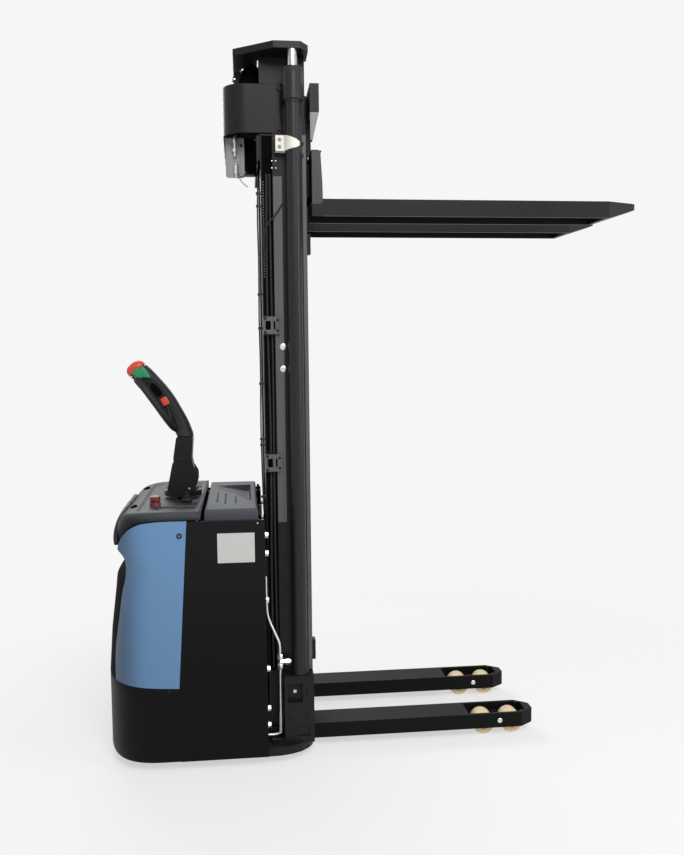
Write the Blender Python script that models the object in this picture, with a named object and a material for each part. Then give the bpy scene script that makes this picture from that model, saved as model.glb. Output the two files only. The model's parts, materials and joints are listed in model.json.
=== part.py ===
"""Electric walkie stacker with a three-stage mast, modelled piece by piece.

All sizes are millimetres in the mast frame: X = 0 at the front edge of the
mast, +X towards the fork tips, +Y to the machine's left, Z = 0 on the floor.
Each piece hangs on the pivot (an empty) of the body that it moves with, and
the chassis pivot puts the middle of the machine's length over the origin.
"""
import math

import bpy
import bmesh
from mathutils import Vector

MM = 0.001
GAP = 0.3                       # seating gap between touching pieces
SIDES = ((-1, "R"), (1, "L"))

# --- overall sizes -------------------------------------------------------
FORK_TIP_X = 1205.0
BODY_REAR_X = -735.0
BODY_HALF_WIDTH = 392.0
OVERALL_HEIGHT = 2478.0
X_CENTRE = (FORK_TIP_X + BODY_REAR_X) / 2

# --- mast: three nested pairs of channels --------------------------------
MAST_DEPTH = 157.0
MAST_MID_X = -MAST_DEPTH / 2
MAST_REAR_X = -MAST_DEPTH - GAP
WEB = 10.0
FLANGE = 12.0
OUTER_WEB_Y = 280.0             # outer face of each channel's web
MIDDLE_WEB_Y = 232.0
INNER_WEB_Y = 182.0
OUTER_FLANGE = 44.0
MIDDLE_FLANGE = 46.0
INNER_FLANGE = 42.0
RECESS_X = -117.0               # behind this line the outer web steps inwards
RECESS_Y = OUTER_WEB_Y - 13.0
OUTER_TOP = 2185.0
PLATE_T = 24.0
STAGE_TOP = OVERALL_HEIGHT - PLATE_T - GAP
INNER_TOP = STAGE_TOP - 13.7
STAGE_FOOT = 110.0
INNER_FOOT = 120.0
ROLLER_R = 64.0
ROLLER_RUN = 1.0                # clearance between a roller and the web it faces
TIE_T = 6.0
TOP_TIE_Z = (2100.0, 2180.0)
LOW_TIE_Z = (600.0, 700.0)
MIDDLE_TIE_Z = (400.0, 520.0)
INNER_TIE_DROP = 55.0
INNER_SHELF_Z = (125.0, 149.0)
INNER_TIE_TOP = 215.0
PAD_Z = ((1777.0, 1847.0), (336.0, 408.0))
PAD_T = 12.0
HOSE_CLAMP_Z = ((1502.0, 1562.0), (1022.0, 1083.0))
HOSE_CLAMP_X = -100.0
HOSE_CLAMP_T = 12.0

# --- lift cylinders ------------------------------------------------------
TUBE_R, COLLAR_R, ROD_R = 26.0, 34.0, 17.0
BORE_PLAY = 0.5
CYL_X, CYL_Y = -45.5, OUTER_WEB_Y + TUBE_R + 1.5
CYL_FOOT_Z = 299.0
TUBE_TOP, COLLAR_Z = 2292.0, (2284.0, 2395.0)
BORE_FOOT, ROD_FOOT = 780.0, 800.0
CLAMP_WALL = 6.0
CLAMP_FACE_Y = CYL_Y + 8.0
CLAMP_EDGE = ((-106, 2119), (-106, 2170), (-76, 2170), (-36, 2154), (-25, 2146),
              (-25, 2134), (-36, 2127), (-76, 2118))
FREE_X = -85.0
FREE_TUBE_R, FREE_ROD_R = 35.0, 25.0
FREE_TUBE_TOP, FREE_BORE_FOOT, FREE_ROD_FOOT = 1320.0, 285.0, 1235.0
SHEAVE_R, SHEAVE_HALF, SHEAVE_HUB_R = 45.0, 12.0, 14.0
SHEAVE_Z = 2372.0
YOKE_Z = (2290.0, 2312.0)
CHAIN_W, CHAIN_T = 16.0, 10.0
CHAIN_ANCHOR_Z = 1345.0

# --- mast head: guard cover and hose bracket ------------------------------
COVER_X = (-283.0, -80.0)
COVER_HALF, COVER_R, COVER_WALL = 260.0, 80.0, 3.0
COVER_Z = (2190.0, 2355.0)
SPACER_Z = (2318.0, 2346.0)
BRACKET_Y = (172.0, 176.0)
BRACKET_X = -279.5
BRACKET_INNER_X = -209.0
BRACKET_FOOT = 2054.0
BRACKET_BACK_X = MAST_REAR_X - 3 * TIE_T      # behind the tie it rises past
BRACKET_BAR_Z = (COVER_Z[0] + 0.5, COVER_Z[0] + 6.5)

# --- carriage and forks --------------------------------------------------
FORK_TOP_Z = 1966.0
FORK_DEPTH = 58.0
FORK_LOW_Z = FORK_TOP_Z - FORK_DEPTH
FORK_T = 8.0
FORK_W = 180.0
FORK_Y = 195.0
FORK_TAPER_X = FORK_TIP_X - 120.0
FORK_TIP_HALF, FORK_TIP_T = 32.0, 20.0
SHANK_X0 = 17.0
SHANK_EDGE = ((50, 1908), (57, 1908), (55, 2018), (49, 2124), (43, 2131))
SHANK_TOP_Z = 2131.0
CARRIAGE_TOP_Z, CARRIAGE_LOW_Z = 2353.0, 1960.0
BAR_X = (14.0, 46.0)
BAR_HALF, BAR_LOW_Z = 285.0, 2258.0
GUSSET_LOW_Z, GUSSET_T = 2160.0, 15.0
SIDE_Y = (118.0, 132.0)
CARRIAGE_ROLLER_Z = (2030.0, 2288.0)
CARRIAGE_ROLLER_Y = 165.0
LOW_BAR_HALF, LOW_BAR_Z = 184.0, (1985.0, 2100.0)
CHAIN_BAR_Z = (2150.0, 2180.0)

# --- straddle legs -------------------------------------------------------
LEG_Y = 195.0
LEG_HALF = 60.0
LEG_Z = (32.5, 88.0)
LEG_WALL = 12.0
LOAD_WHEEL_R, LOAD_WHEEL_HALF, LOAD_HUB_R = 40.0, 34.0, 10.0
BRIDGE_HALF, WHEEL_PLAY = 9.0, 4.5
BOGIE_X, BOGIE_Z = 700.5, LOAD_WHEEL_R + 8.0
WHEEL_REACH = LOAD_WHEEL_R + BRIDGE_HALF + WHEEL_PLAY
LOAD_WHEEL_X = (BOGIE_X - WHEEL_REACH, BOGIE_X + WHEEL_REACH)
BAY_X = (LOAD_WHEEL_X[0] - LOAD_WHEEL_R - 22.0, LOAD_WHEEL_X[1] + LOAD_WHEEL_R + 11.0)
NOSE_L, NOSE_HALF = 24.0, 37.0
LEG_END_X = BAY_X[1] + 30.0
BOGIE_T, BOGIE_PLAY, PIN_R = 8.0, 4.0, 8.0

# --- mast foot, floor plate and pipes --------------------------------------
FOOT_Z = (30.0, 60.0)
FOOT_HALF = ((-167, 280), (-167, 380), (-120, 378), (-80, 368), (-45, 350), (-20, 325),
             (-5, 300), (-5, 280))
FOOT_BLOCK_HALF, FOOT_BLOCK_TOP = 285.0, 95.0
BOX_X, BOX_HALF = -105.0, 340.0
WINDOW_X, WINDOW_Z = (-94.0, -41.0), (203.0, 272.0)
FLOOR_Z = (140.0, 148.0)
FLOOR_INSET = 4.6
RAIL_Y, RAIL_REAR_X = (328.0, 338.0), -560.0
PIPE_X, PIPE_Y, PIPE_R = -118.0, 312.0, 5.5
UNION_Z = 345.0
CABLE_Y, CABLE_R = 262.0, 4.0

# --- drive, tiller and controls --------------------------------------------
STEER_X = -464.0
DRIVE_R, DRIVE_HALF, DRIVE_HUB_R = 115.0, 37.5, 38.0
TABLE_Z = (2 * DRIVE_R + 8.0, 2 * DRIVE_R + 28.0)
BRIDGE_Z = (TABLE_Z[1] + 4.0, TABLE_Z[1] + 14.0)
MOTOR_R, MOTOR_TOP = 71.7, 560.0
COLUMN_R = 20.0
PIVOT_X, PIVOT_Z = -450.0, 985.0
CHEEK_Y = (40.0, 46.0)
ARM_HALF, ARM_WALL, ARM_TOP = 39.0, 4.0, 1128.0
HANDLE_HALF = 32.0
GRIP_R = 13.0
THUMB_X, THUMB_Z, THUMB_PIN_R = -590.0, 1362.0, 6.0
THUMB_Y = (32.6, 47.0)
WING_L, WING_H = 40.0, 17.0     # half length and half height of a thumb wing
CAP_X, CAP_Z = -615.5, 1370.5
CAP_PUSH = (.688, -.726)        # direction the belly button travels, in X-Z
CAP_HALF, STEM_HALF, STEM_PLAY, STEM_L = 31.0, 8.0, 0.4, 12.0
HORN_X, HORN_Z, HORN_R = -520.0, 1262.0, 10.0
STOP_X, STOP_Y, STOP_R = -550.0, -200.0, 19.0
KEY_X, KEY_Y, KEY_R = -443.0, -115.0, 13.0

# --- body ----------------------------------------------------------------
PANEL_T = 4.0
SHELL_T = 5.0
PANEL_FRONT_X = -165.0
PANEL_SEAM = ((-428, 871), (-465.4, 295))
PANEL_LOW_Z, PANEL_TOP_Z = 34.0, 871.0
SKIRT_TOP_Z = 305.0
PLAN_BEND_X = -500.0
PLAN_POWER = 3.0
HOOD_TOP_Z, HOOD_FRONT_X = 905.0, -396.0
LEDGE_Z = (858.0, 862.0)
BULGE = ((34, 1.0), (305, 1.0), (460, .95), (600, .872), (655, .845),
         (700, .85), (765, .95), (800, .98), (870, .96), (910, .93))
COVER_TOP = ((-429, 872), (-505, 872), (-554, 869), (-594, 861), (-625, 844), (-647, 821),
             (-662, 797), (-671, 770))
COVER_REAR = ((-648, 745), (-641, 712), (-647, 662), (-660, 612), (-673, 525), (-690, 411),
              (-692, 305.4))
HOOD_CREST = ((-760, 700), (-730, 716), (-696, 800), (-656, 887), (-632, 897), (-590, 904),
              (-560, HOOD_TOP_Z))
RECESS_WALL_Z = (652.6, 742.0)
LID_X, LID_HALF, LID_TOP = (-371.0, -187.0), 341.0, 902.0
LID_HINGE_Z = 900.0
BATTERY_X = (STEER_X + DRIVE_R + 13.0, -182.0)
BATTERY_HALF, BATTERY_TOP = 322.0, 838.0

# --- finishes: colour, roughness and metallic value ------------------------
FINISHES = {
    "black_paint": ((.011, .011, .012), .42, 0.0),
    "blue_paint": ((.135, .30, .53), .42, 0.0),
    "grey_plastic": ((.072, .077, .088), .55, 0.0),
    "black_plastic": ((.012, .012, .013), .5, 0.0),
    "cream_paint": ((.74, .71, .63), .45, 0.0),
    "chrome": ((.8, .8, .82), .12, 1.0),
    "zinc": ((.66, .66, .64), .32, 1.0),
    "cylinder_paint": ((.014, .014, .015), .28, 0.0),
    "red_plastic": ((.45, .02, .02), .35, 0.0),
    "orange_plastic": ((.72, .08, .035), .4, 0.0),
    "green_plastic": ((.015, .26, .11), .4, 0.0),
    "polyurethane": ((.8, .62, .36), .38, 0.0),
    "rubber": ((.02, .02, .02), .7, 0.0),
    "chain_steel": ((.2, .19, .17), .4, .9),
}

# --- pivots: the body each hangs on, and its place -------------------------
PIVOTS = {
    "chassis": (None, (0, 0, 0)),
    "battery_lid": ("chassis", (LID_X[1], 0, LID_HINGE_Z)),
    "middle_mast": ("chassis", (0, 0, STAGE_FOOT)),
    "inner_mast": ("middle_mast", (0, 0, INNER_FOOT)),
    "lift_head": ("inner_mast", (FREE_X, 0, FREE_ROD_FOOT)),
    "sheave": ("lift_head", (FREE_X, 0, SHEAVE_Z)),
    "carriage": ("inner_mast", (0, 0, FORK_TOP_Z)),
    "steer": ("chassis", (STEER_X, 0, DRIVE_R)),
    "drive": ("steer", (STEER_X, 0, DRIVE_R)),
    "tiller": ("steer", (PIVOT_X, 0, PIVOT_Z)),
    "thumb": ("tiller", (THUMB_X, 0, THUMB_Z)),
    "belly": ("tiller", (CAP_X, 0, CAP_Z)),
    "horn": ("tiller", (HORN_X, -HANDLE_HALF, HORN_Z)),
    "stop": ("chassis", (STOP_X, STOP_Y, HOOD_TOP_Z)),
    "key": ("chassis", (KEY_X, KEY_Y, HOOD_TOP_Z)),
}
for _side, _tag in SIDES:
    PIVOTS["bogie_" + _tag] = ("chassis", (BOGIE_X, _side * LEG_Y, BOGIE_Z))
    for _x, _place in zip(LOAD_WHEEL_X, ("rear", "front")):
        PIVOTS["%s_wheel_%s" % (_place, _tag)] = ("bogie_" + _tag, (_x, _side * LEG_Y, LOAD_WHEEL_R))


# --- primitives: each returns a bmesh holding one closed solid -----------

def prism(points, axis, a, b):
    """Closed prism: 2-D points in the plane across `axis`, from a to b."""
    bm = bmesh.new()
    place = {"x": lambda p, h: (h, p[0], p[1]),
             "y": lambda p, h: (p[0], h, p[1]),
             "z": lambda p, h: (p[0], p[1], h)}[axis]
    low = [bm.verts.new(place(p, a)) for p in points]
    high = [bm.verts.new(place(p, b)) for p in points]
    count = len(points)
    bm.faces.new(low[::-1])
    bm.faces.new(high)
    for i in range(count):
        j = (i + 1) % count
        bm.faces.new((low[i], low[j], high[j], high[i]))
    bmesh.ops.recalc_face_normals(bm, faces=bm.faces)
    return bm


def block(x0, x1, y0, y1, z0, z1):
    return prism(((x0, y0), (x1, y0), (x1, y1), (x0, y1)), "z", z0, z1)


def ring_points(centre, radius, count):
    return [(centre[0] + radius * math.cos(2 * math.pi * i / count),
             centre[1] + radius * math.sin(2 * math.pi * i / count))
            for i in range(count)]


def disc(axis, centre, radius, a, b, count=32):
    return prism(ring_points(centre, radius, count), axis, a, b)


def loft(sections):
    """Closed solid through stacked 3-D rings of equal length."""
    bm = bmesh.new()
    rings = [[bm.verts.new(p) for p in ring] for ring in sections]
    count = len(rings[0])
    bm.faces.new(rings[0][::-1])
    bm.faces.new(rings[-1])
    for low, high in zip(rings, rings[1:]):
        for i in range(count):
            j = (i + 1) % count
            bm.faces.new((low[i], low[j], high[j], high[i]))
    bmesh.ops.recalc_face_normals(bm, faces=bm.faces)
    return bm


def pipe(points, radius, count=12):
    """Round bar swept along a polyline, mitred at its corners."""
    points = [Vector(p) for p in points]
    sections = []
    normal = None
    for i, point in enumerate(points):
        before = (point - points[i - 1]).normalized() if i else None
        after = (points[i + 1] - point).normalized() if i + 1 < len(points) else None
        tangent = ((before or after) + (after or before)).normalized()
        if normal is None:
            guide = Vector((0, 1, 0)) if abs(tangent.y) < .9 else Vector((1, 0, 0))
            normal = tangent.cross(guide).normalized()
        normal = (normal - tangent * normal.dot(tangent)).normalized()
        across = tangent.cross(normal)
        sections.append([point + radius * (math.cos(t) * normal + math.sin(t) * across)
                         for t in (2 * math.pi * k / count for k in range(count))])
    return loft(sections)


def rounded(points, radius, steps=4):
    """2-D outline with its corners rounded by short curves."""
    out = []
    count = len(points)
    for i in range(count):
        prev, here, after = (Vector(points[i - 1]), Vector(points[i]),
                             Vector(points[(i + 1) % count]))
        to_prev, to_next = prev - here, after - here
        cut = min(radius, to_prev.length * .45, to_next.length * .45)
        start = here + to_prev.normalized() * cut
        end = here + to_next.normalized() * cut
        for k in range(steps + 1):
            t = k / steps
            out.append(tuple((1 - t) ** 2 * start + 2 * t * (1 - t) * here + t * t * end))
    return out


def mirrored(points, side):
    """Flip a 2-D (x, y) outline to the side given by +1 or -1."""
    return [(x, y * side) for x, y in points]


def span(side, y0, y1):
    """The Y range from y0 to y1 on one side, low end first."""
    return (min(side * y0, side * y1), max(side * y0, side * y1))


# --- nodes ---------------------------------------------------------------

def to_object(name, bm):
    mesh = bpy.data.meshes.new(name)
    bm.to_mesh(mesh)
    bm.free()
    obj = bpy.data.objects.new(name, mesh)
    bpy.context.collection.objects.link(obj)
    return obj


def take(obj):
    """Turn an intermediate object back into a bmesh."""
    bm = bmesh.new()
    bm.from_mesh(obj.data)
    mesh = obj.data
    bpy.data.objects.remove(obj)
    bpy.data.meshes.remove(mesh)
    return bm


def combine(target, bm, operation):
    tool = to_object("tool", bm)
    modifier = target.modifiers.new("join", "BOOLEAN")
    modifier.operation = operation
    modifier.solver = "EXACT"
    modifier.object = tool
    graph = bpy.context.evaluated_depsgraph_get()
    mesh = bpy.data.meshes.new_from_object(target.evaluated_get(graph))
    target.modifiers.clear()
    old = target.data
    target.data = mesh
    bpy.data.meshes.remove(old)
    tool_mesh = tool.data
    bpy.data.objects.remove(tool)
    bpy.data.meshes.remove(tool_mesh)


def carved(base, tools, operation="DIFFERENCE"):
    """The base after each tool is taken from it, or another operation."""
    obj = to_object("carved", base)
    for bm in tools:
        combine(obj, bm, operation)
    return take(obj)


def finish_material(name, finish):
    colour, roughness, metallic = FINISHES[finish]
    material = bpy.data.materials.new(name + "_finish")
    material.use_nodes = True
    shader = material.node_tree.nodes["Principled BSDF"]
    shader.inputs["Base Color"].default_value = (*colour, 1)
    shader.inputs["Roughness"].default_value = roughness
    shader.inputs["Metallic"].default_value = metallic
    return material


def make_pivots():
    """One empty on each body's joint axis, each parented to the body it hangs on."""
    for name, (holder, place) in PIVOTS.items():
        pivot = bpy.data.objects.new("pivot_" + name, None)
        pivot.empty_display_size = .05
        bpy.context.collection.objects.link(pivot)
        start = (X_CENTRE, 0, 0)
        if holder:
            pivot.parent = bpy.data.objects["pivot_" + holder]
            start = PIVOTS[holder][1]
        pivot.location = (Vector(place) - Vector(start)) * MM


def node(name, body, finish, base, add=(), cut=(), keep=()):
    """One named closed solid on its body: base + add - cut, limited to `keep`."""
    obj = to_object(name, base)
    for bm in add:
        combine(obj, bm, "UNION")
    for bm in cut:
        combine(obj, bm, "DIFFERENCE")
    for bm in keep:
        combine(obj, bm, "INTERSECT")
    bm = bmesh.new()
    bm.from_mesh(obj.data)
    bmesh.ops.remove_doubles(bm, verts=bm.verts, dist=.01)
    bmesh.ops.dissolve_degenerate(bm, edges=bm.edges, dist=.01)
    centre = Vector(PIVOTS[body][1])
    for vert in bm.verts:
        vert.co = (vert.co - centre) * MM
    bm.to_mesh(obj.data)
    bm.free()
    obj.data.name = name
    obj.data.shade_smooth()
    obj.data.set_sharp_from_angle(angle=math.radians(30))
    obj.data.materials.clear()
    obj.data.materials.append(finish_material(name, finish))
    obj.parent = bpy.data.objects["pivot_" + body]
    return obj


# --- mast ----------------------------------------------------------------

def channel(side, web_y, flange, z0, z1):
    """C-section with its back at |Y| = web_y and its mouth inwards."""
    mouth = web_y - flange
    outline = ((0, web_y), (0, mouth), (-FLANGE, mouth), (-FLANGE, web_y - WEB),
               (-MAST_DEPTH + FLANGE, web_y - WEB), (-MAST_DEPTH + FLANGE, mouth),
               (-MAST_DEPTH, mouth), (-MAST_DEPTH, web_y))
    return prism(mirrored(outline, side), "z", z0, z1)


def stepped_channel(side, z0, z1):
    """The outer mast's section, whose web steps inwards behind RECESS_X."""
    mouth = OUTER_WEB_Y - OUTER_FLANGE
    outline = ((0, OUTER_WEB_Y), (0, mouth), (-FLANGE, mouth), (-FLANGE, OUTER_WEB_Y - WEB),
               (RECESS_X + WEB, OUTER_WEB_Y - WEB), (RECESS_X + WEB, RECESS_Y - WEB),
               (-MAST_DEPTH + FLANGE, RECESS_Y - WEB), (-MAST_DEPTH + FLANGE, mouth),
               (-MAST_DEPTH, mouth), (-MAST_DEPTH, RECESS_Y), (RECESS_X, RECESS_Y),
               (RECESS_X, OUTER_WEB_Y))
    return prism(mirrored(outline, side), "z", z0, z1)


def hose_clamp(side, z0, z1):
    y0, y1 = span(side, OUTER_WEB_Y - 2, OUTER_WEB_Y + HOSE_CLAMP_T)
    return block(-MAST_DEPTH, HOSE_CLAMP_X, y0, y1, z0, z1)


def hose_clamp_holes(side, z0, z1):
    """A square and a narrow window in a hose clamp's face."""
    y0, y1 = span(side, OUTER_WEB_Y + 4, OUTER_WEB_Y + HOSE_CLAMP_T + 8)
    middle = (z0 + z1) / 2
    return [block(-149, -131, y0, y1, middle - 15, middle + 15),
            block(-121, -115, y0, y1, middle - 13, middle + 13)]


def build_outer_mast():
    for side, tag in SIDES:
        pads = [block(-2, PAD_T, *span(side, 240, 276), z0, z1) for z0, z1 in PAD_Z]
        clamps = [hose_clamp(side, *zz) for zz in HOSE_CLAMP_Z]
        holes = [hole for zz in HOSE_CLAMP_Z for hole in hose_clamp_holes(side, *zz)]
        node("outer_channel_" + tag, "chassis", "black_paint",
             stepped_channel(side, FOOT_BLOCK_TOP + GAP, OUTER_TOP), add=pads + clamps, cut=holes)

        centre = (CYL_X, side * CYL_Y)
        node("lift_cylinder_" + tag, "chassis", "cylinder_paint",
             disc("z", centre, TUBE_R, CYL_FOOT_Z + GAP, TUBE_TOP),
             add=[disc("z", centre, COLLAR_R, *COLLAR_Z)],
             cut=[disc("z", centre, ROD_R + BORE_PLAY, BORE_FOOT, COLLAR_Z[1] + 5)])

        z0, z1 = CLAMP_EDGE[0][1] - 5, CLAMP_EDGE[1][1] + 5
        strap = block(CLAMP_EDGE[0][0], CYL_X, *span(side, OUTER_WEB_Y + GAP, CLAMP_FACE_Y), z0, z1)
        node("cylinder_clamp_" + tag, "chassis", "cream_paint", strap,
             add=[disc("z", centre, TUBE_R + CLAMP_WALL, z0, z1)],
             cut=[disc("z", centre, TUBE_R + GAP, z0 - 10, z1 + 10),
                  block(-150, 20, *span(side, 200, OUTER_WEB_Y + GAP), z0 - 10, z1 + 10)],
             keep=[prism(CLAMP_EDGE, "y", *span(side, 200, CYL_Y + 2 * COLLAR_R))])
    front = MAST_REAR_X - TIE_T - .7
    for name, zz in (("outer_tie_top", TOP_TIE_Z), ("outer_tie_low", LOW_TIE_Z)):
        lugs = [block(MAST_REAR_X - 2 * TIE_T, MAST_REAR_X, *span(side, 240, 266), *zz) for side, _ in SIDES]
        node(name, "chassis", "black_paint", block(front - TIE_T, front, -266, 266, *zz), add=lugs)


def cover_outline(shrink):
    """Plan of the guard cover: open at the mast, rounded at its two rear corners."""
    x0, half, radius = COVER_X[0] + shrink, COVER_HALF - shrink, COVER_R - shrink
    front = COVER_X[1] + (1 if shrink else 0)
    arc = [(x0 + radius * (1 - math.sin(t)), -half + radius * (1 - math.cos(t)))
           for t in (math.pi / 2 * k / 8 for k in range(9))]
    return [(front, -half)] + arc + [(x, -y) for x, y in arc[::-1]] + [(front, half)]


def build_middle_mast():
    roller_y = (MIDDLE_WEB_Y - 2, RECESS_Y - WEB - ROLLER_RUN)
    for side, tag in SIDES:
        roller = disc("y", (MAST_MID_X, 200), ROLLER_R, *span(side, *roller_y))
        node("middle_channel_" + tag, "middle_mast", "black_paint",
             channel(side, MIDDLE_WEB_Y, MIDDLE_FLANGE, STAGE_FOOT, STAGE_TOP), add=[roller])
        node("cylinder_rod_" + tag, "middle_mast", "chrome",
             disc("z", (CYL_X, side * CYL_Y), ROD_R, ROD_FOOT, STAGE_TOP))
    node("middle_tie_low", "middle_mast", "black_paint",
         block(MAST_REAR_X - TIE_T, MAST_REAR_X, -228, 228, *MIDDLE_TIE_Z))
    notch = INNER_WEB_Y + 4
    half = ((10, notch), (10, 285), (-17, 325), (-109, 325), (-245, 228), (-245, 0))
    outline = list(half) + [(x, -y) for x, y in half[::-1][1:]]
    outline += [(-MAST_DEPTH - 3, -notch), (-MAST_DEPTH - 3, notch)]
    node("top_plate", "middle_mast", "black_paint", prism(outline, "z", STAGE_TOP + GAP, OVERALL_HEIGHT))

    spacers = [block(-100, COVER_X[1], *span(side, MIDDLE_WEB_Y + GAP, COVER_HALF - 1.5), *SPACER_Z)
               for side, _ in SIDES]
    shell = carved(prism(cover_outline(0), "z", *COVER_Z),
                   [prism(cover_outline(COVER_WALL), "z", COVER_Z[0] - 10, COVER_Z[1] + 10)])
    node("guard_cover", "middle_mast", "black_paint", shell, add=spacers)

    top = BRACKET_BAR_Z[1]
    right = rounded(((BRACKET_X, top), (BRACKET_INNER_X, top), (BRACKET_INNER_X, BRACKET_FOOT),
                     (BRACKET_X + 5, BRACKET_FOOT + 3)), 10, 3)
    left = rounded(((BRACKET_X, top), (BRACKET_INNER_X, top), (BRACKET_INNER_X, 2130),
                    (BRACKET_X, 2130)), 10, 3)
    plates = [prism(right, "y", *span(-1, *BRACKET_Y)), prism(left, "y", *BRACKET_Y)]
    back = block(BRACKET_INNER_X - 8, BRACKET_BACK_X, -154, -150, 2066, top)
    ledge = block(BRACKET_INNER_X - 8, BRACKET_BACK_X, -BRACKET_Y[1], -150, 2062, 2068)
    web = block(BRACKET_X + 1.5, BRACKET_X + 5.5, -174, 174, 2134, top)
    node("hose_bracket", "middle_mast", "black_paint",
         block(BRACKET_X + .5, MAST_REAR_X, -178, 178, *BRACKET_BAR_Z), add=plates + [back, ledge, web])


def build_inner_mast():
    for side, tag in SIDES:
        roller = disc("y", (MAST_MID_X, 230), ROLLER_R,
                      *span(side, INNER_WEB_Y - 2, MIDDLE_WEB_Y - WEB - 7))
        node("inner_channel_" + tag, "inner_mast", "black_paint",
             channel(side, INNER_WEB_Y, INNER_FLANGE, INNER_FOOT, INNER_TOP), add=[roller])
    half = INNER_WEB_Y - INNER_FLANGE - GAP
    rear = (-MAST_DEPTH, -MAST_DEPTH + FLANGE)
    tie_z = (INNER_TOP - INNER_TIE_DROP, INNER_TOP)
    node("inner_tie_top", "inner_mast", "black_paint", block(*rear, -half, half, *tie_z),
         cut=[block(rear[0] - 13, rear[1] + 5, -30, 30, tie_z[0] - 5, tie_z[0] + 25)])
    node("inner_tie_low", "inner_mast", "black_paint",
         block(*rear, -half, half, INNER_SHELF_Z[0], INNER_TIE_TOP),
         add=[block(rear[0] + 7, -45, -60, 60, *INNER_SHELF_Z)])
    anchor = block(-141, -105, -CHAIN_W, CHAIN_W, FREE_TUBE_TOP - 20, CHAIN_ANCHOR_Z - GAP)
    node("free_lift_cylinder", "inner_mast", "cylinder_paint",
         disc("z", (FREE_X, 0), FREE_TUBE_R, INNER_SHELF_Z[1] + GAP, FREE_TUBE_TOP),
         add=[disc("z", (FREE_X, 0), FREE_TUBE_R + 2, FREE_TUBE_TOP - 30, CHAIN_ANCHOR_Z), anchor],
         cut=[disc("z", (FREE_X, 0), FREE_ROD_R + BORE_PLAY, FREE_BORE_FOOT, CHAIN_ANCHOR_Z + 15)])
    rear_x, front_x = FREE_X - SHEAVE_R, FREE_X + SHEAVE_R
    node("lift_chain_rear", "inner_mast", "chain_steel",
         block(rear_x - CHAIN_T, rear_x - GAP, -CHAIN_W / 2, CHAIN_W / 2, CHAIN_ANCHOR_Z, SHEAVE_Z))
    node("lift_chain_front", "carriage", "chain_steel",
         block(front_x + GAP, front_x + CHAIN_T, -CHAIN_W / 2, CHAIN_W / 2, CHAIN_BAR_Z[1] + GAP, SHEAVE_Z))


def build_free_lift_head():
    inner = SHEAVE_HALF + 10
    yoke = block(FREE_X - 30, FREE_X + 30, -inner - 12, inner + 12, *YOKE_Z)
    ears = [block(FREE_X - 22, FREE_X + 22, *span(side, inner, inner + 10), YOKE_Z[0] + 10, SHEAVE_Z + 28)
            for side, _ in SIDES]
    node("free_lift_rod", "lift_head", "chrome",
         disc("z", (FREE_X, 0), FREE_ROD_R, FREE_ROD_FOOT, YOKE_Z[0] + 10), add=[yoke] + ears)
    node("chain_wheel", "sheave", "chain_steel",
         disc("y", (FREE_X, SHEAVE_Z), SHEAVE_R, -SHEAVE_HALF, SHEAVE_HALF),
         add=[disc("y", (FREE_X, SHEAVE_Z), SHEAVE_HUB_R, -inner + GAP, inner - GAP, 16)])


# --- carriage and forks --------------------------------------------------

def build_carriage():
    front = SHANK_X0 - GAP
    outline = ((-138, CARRIAGE_LOW_Z), (front, CARRIAGE_LOW_Z), (front, SHANK_TOP_Z + 9),
               (BAR_X[0] + 14, SHANK_TOP_Z + 9), (BAR_X[0] + 14, CARRIAGE_TOP_Z), (-138, CARRIAGE_TOP_Z))
    sides = [prism(outline, "y", *span(side, *SIDE_Y)) for side, _ in SIDES]
    upper = block(*BAR_X, -BAR_HALF, BAR_HALF, BAR_LOW_Z, CARRIAGE_TOP_Z)
    gusset = ((BAR_X[0], CARRIAGE_TOP_Z - 8), (BAR_X[1], CARRIAGE_TOP_Z - 8), (BAR_X[1], BAR_LOW_Z + 2),
              (BAR_X[0] + 8, GUSSET_LOW_Z), (BAR_X[0], GUSSET_LOW_Z))
    gussets = [prism(gusset, "y", *span(side, BAR_HALF - GUSSET_T, BAR_HALF)) for side, _ in SIDES]
    lower = block(2, front, -LOW_BAR_HALF, LOW_BAR_HALF, *LOW_BAR_Z)
    chain_bar = block(-45, 14, -SIDE_Y[0] - 7, SIDE_Y[0] + 7, *CHAIN_BAR_Z)
    rollers = [disc("y", (MAST_MID_X, z), ROLLER_R, *span(side, SIDE_Y[1] - 2, CARRIAGE_ROLLER_Y))
               for side, _ in SIDES for z in CARRIAGE_ROLLER_Z]
    node("carriage_frame", "carriage", "black_paint", upper,
         add=sides + gussets + [lower, chain_bar] + rollers)
    for side, tag in SIDES:
        build_fork(side * FORK_Y, tag)


def build_fork(y, tag):
    """Folded fork: a shell open below, with a shank at its heel and a thin tip."""
    half = FORK_W / 2
    plan = ((SHANK_X0, -half), (FORK_TAPER_X, -half), (FORK_TIP_X - 12, -FORK_TIP_HALF - 10),
            (FORK_TIP_X, -FORK_TIP_HALF), (FORK_TIP_X, FORK_TIP_HALF),
            (FORK_TIP_X - 12, FORK_TIP_HALF + 10), (FORK_TAPER_X, half), (SHANK_X0, half))
    outer = prism([(px, py + y) for px, py in plan], "z", FORK_LOW_Z, FORK_TOP_Z)
    shank = prism(((SHANK_X0, SHANK_TOP_Z), (SHANK_X0, FORK_LOW_Z)) + SHANK_EDGE, "y", y - half, y + half)
    hollow = block(SHANK_X0 - 5, FORK_TAPER_X - 8, y - half + FORK_T, y + half - FORK_T,
                   FORK_LOW_Z - 10, FORK_TOP_Z - FORK_T)
    rise = prism(((FORK_TAPER_X, FORK_LOW_Z - 1), (FORK_TIP_X + 5, FORK_LOW_Z - 1),
                  (FORK_TIP_X + 5, FORK_TOP_Z - FORK_TIP_T)), "y", y - half - 5, y + half + 5)
    node("fork_" + tag, "carriage", "black_paint", outer, add=[shank], cut=[hollow, rise])


# --- chassis -------------------------------------------------------------

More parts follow.
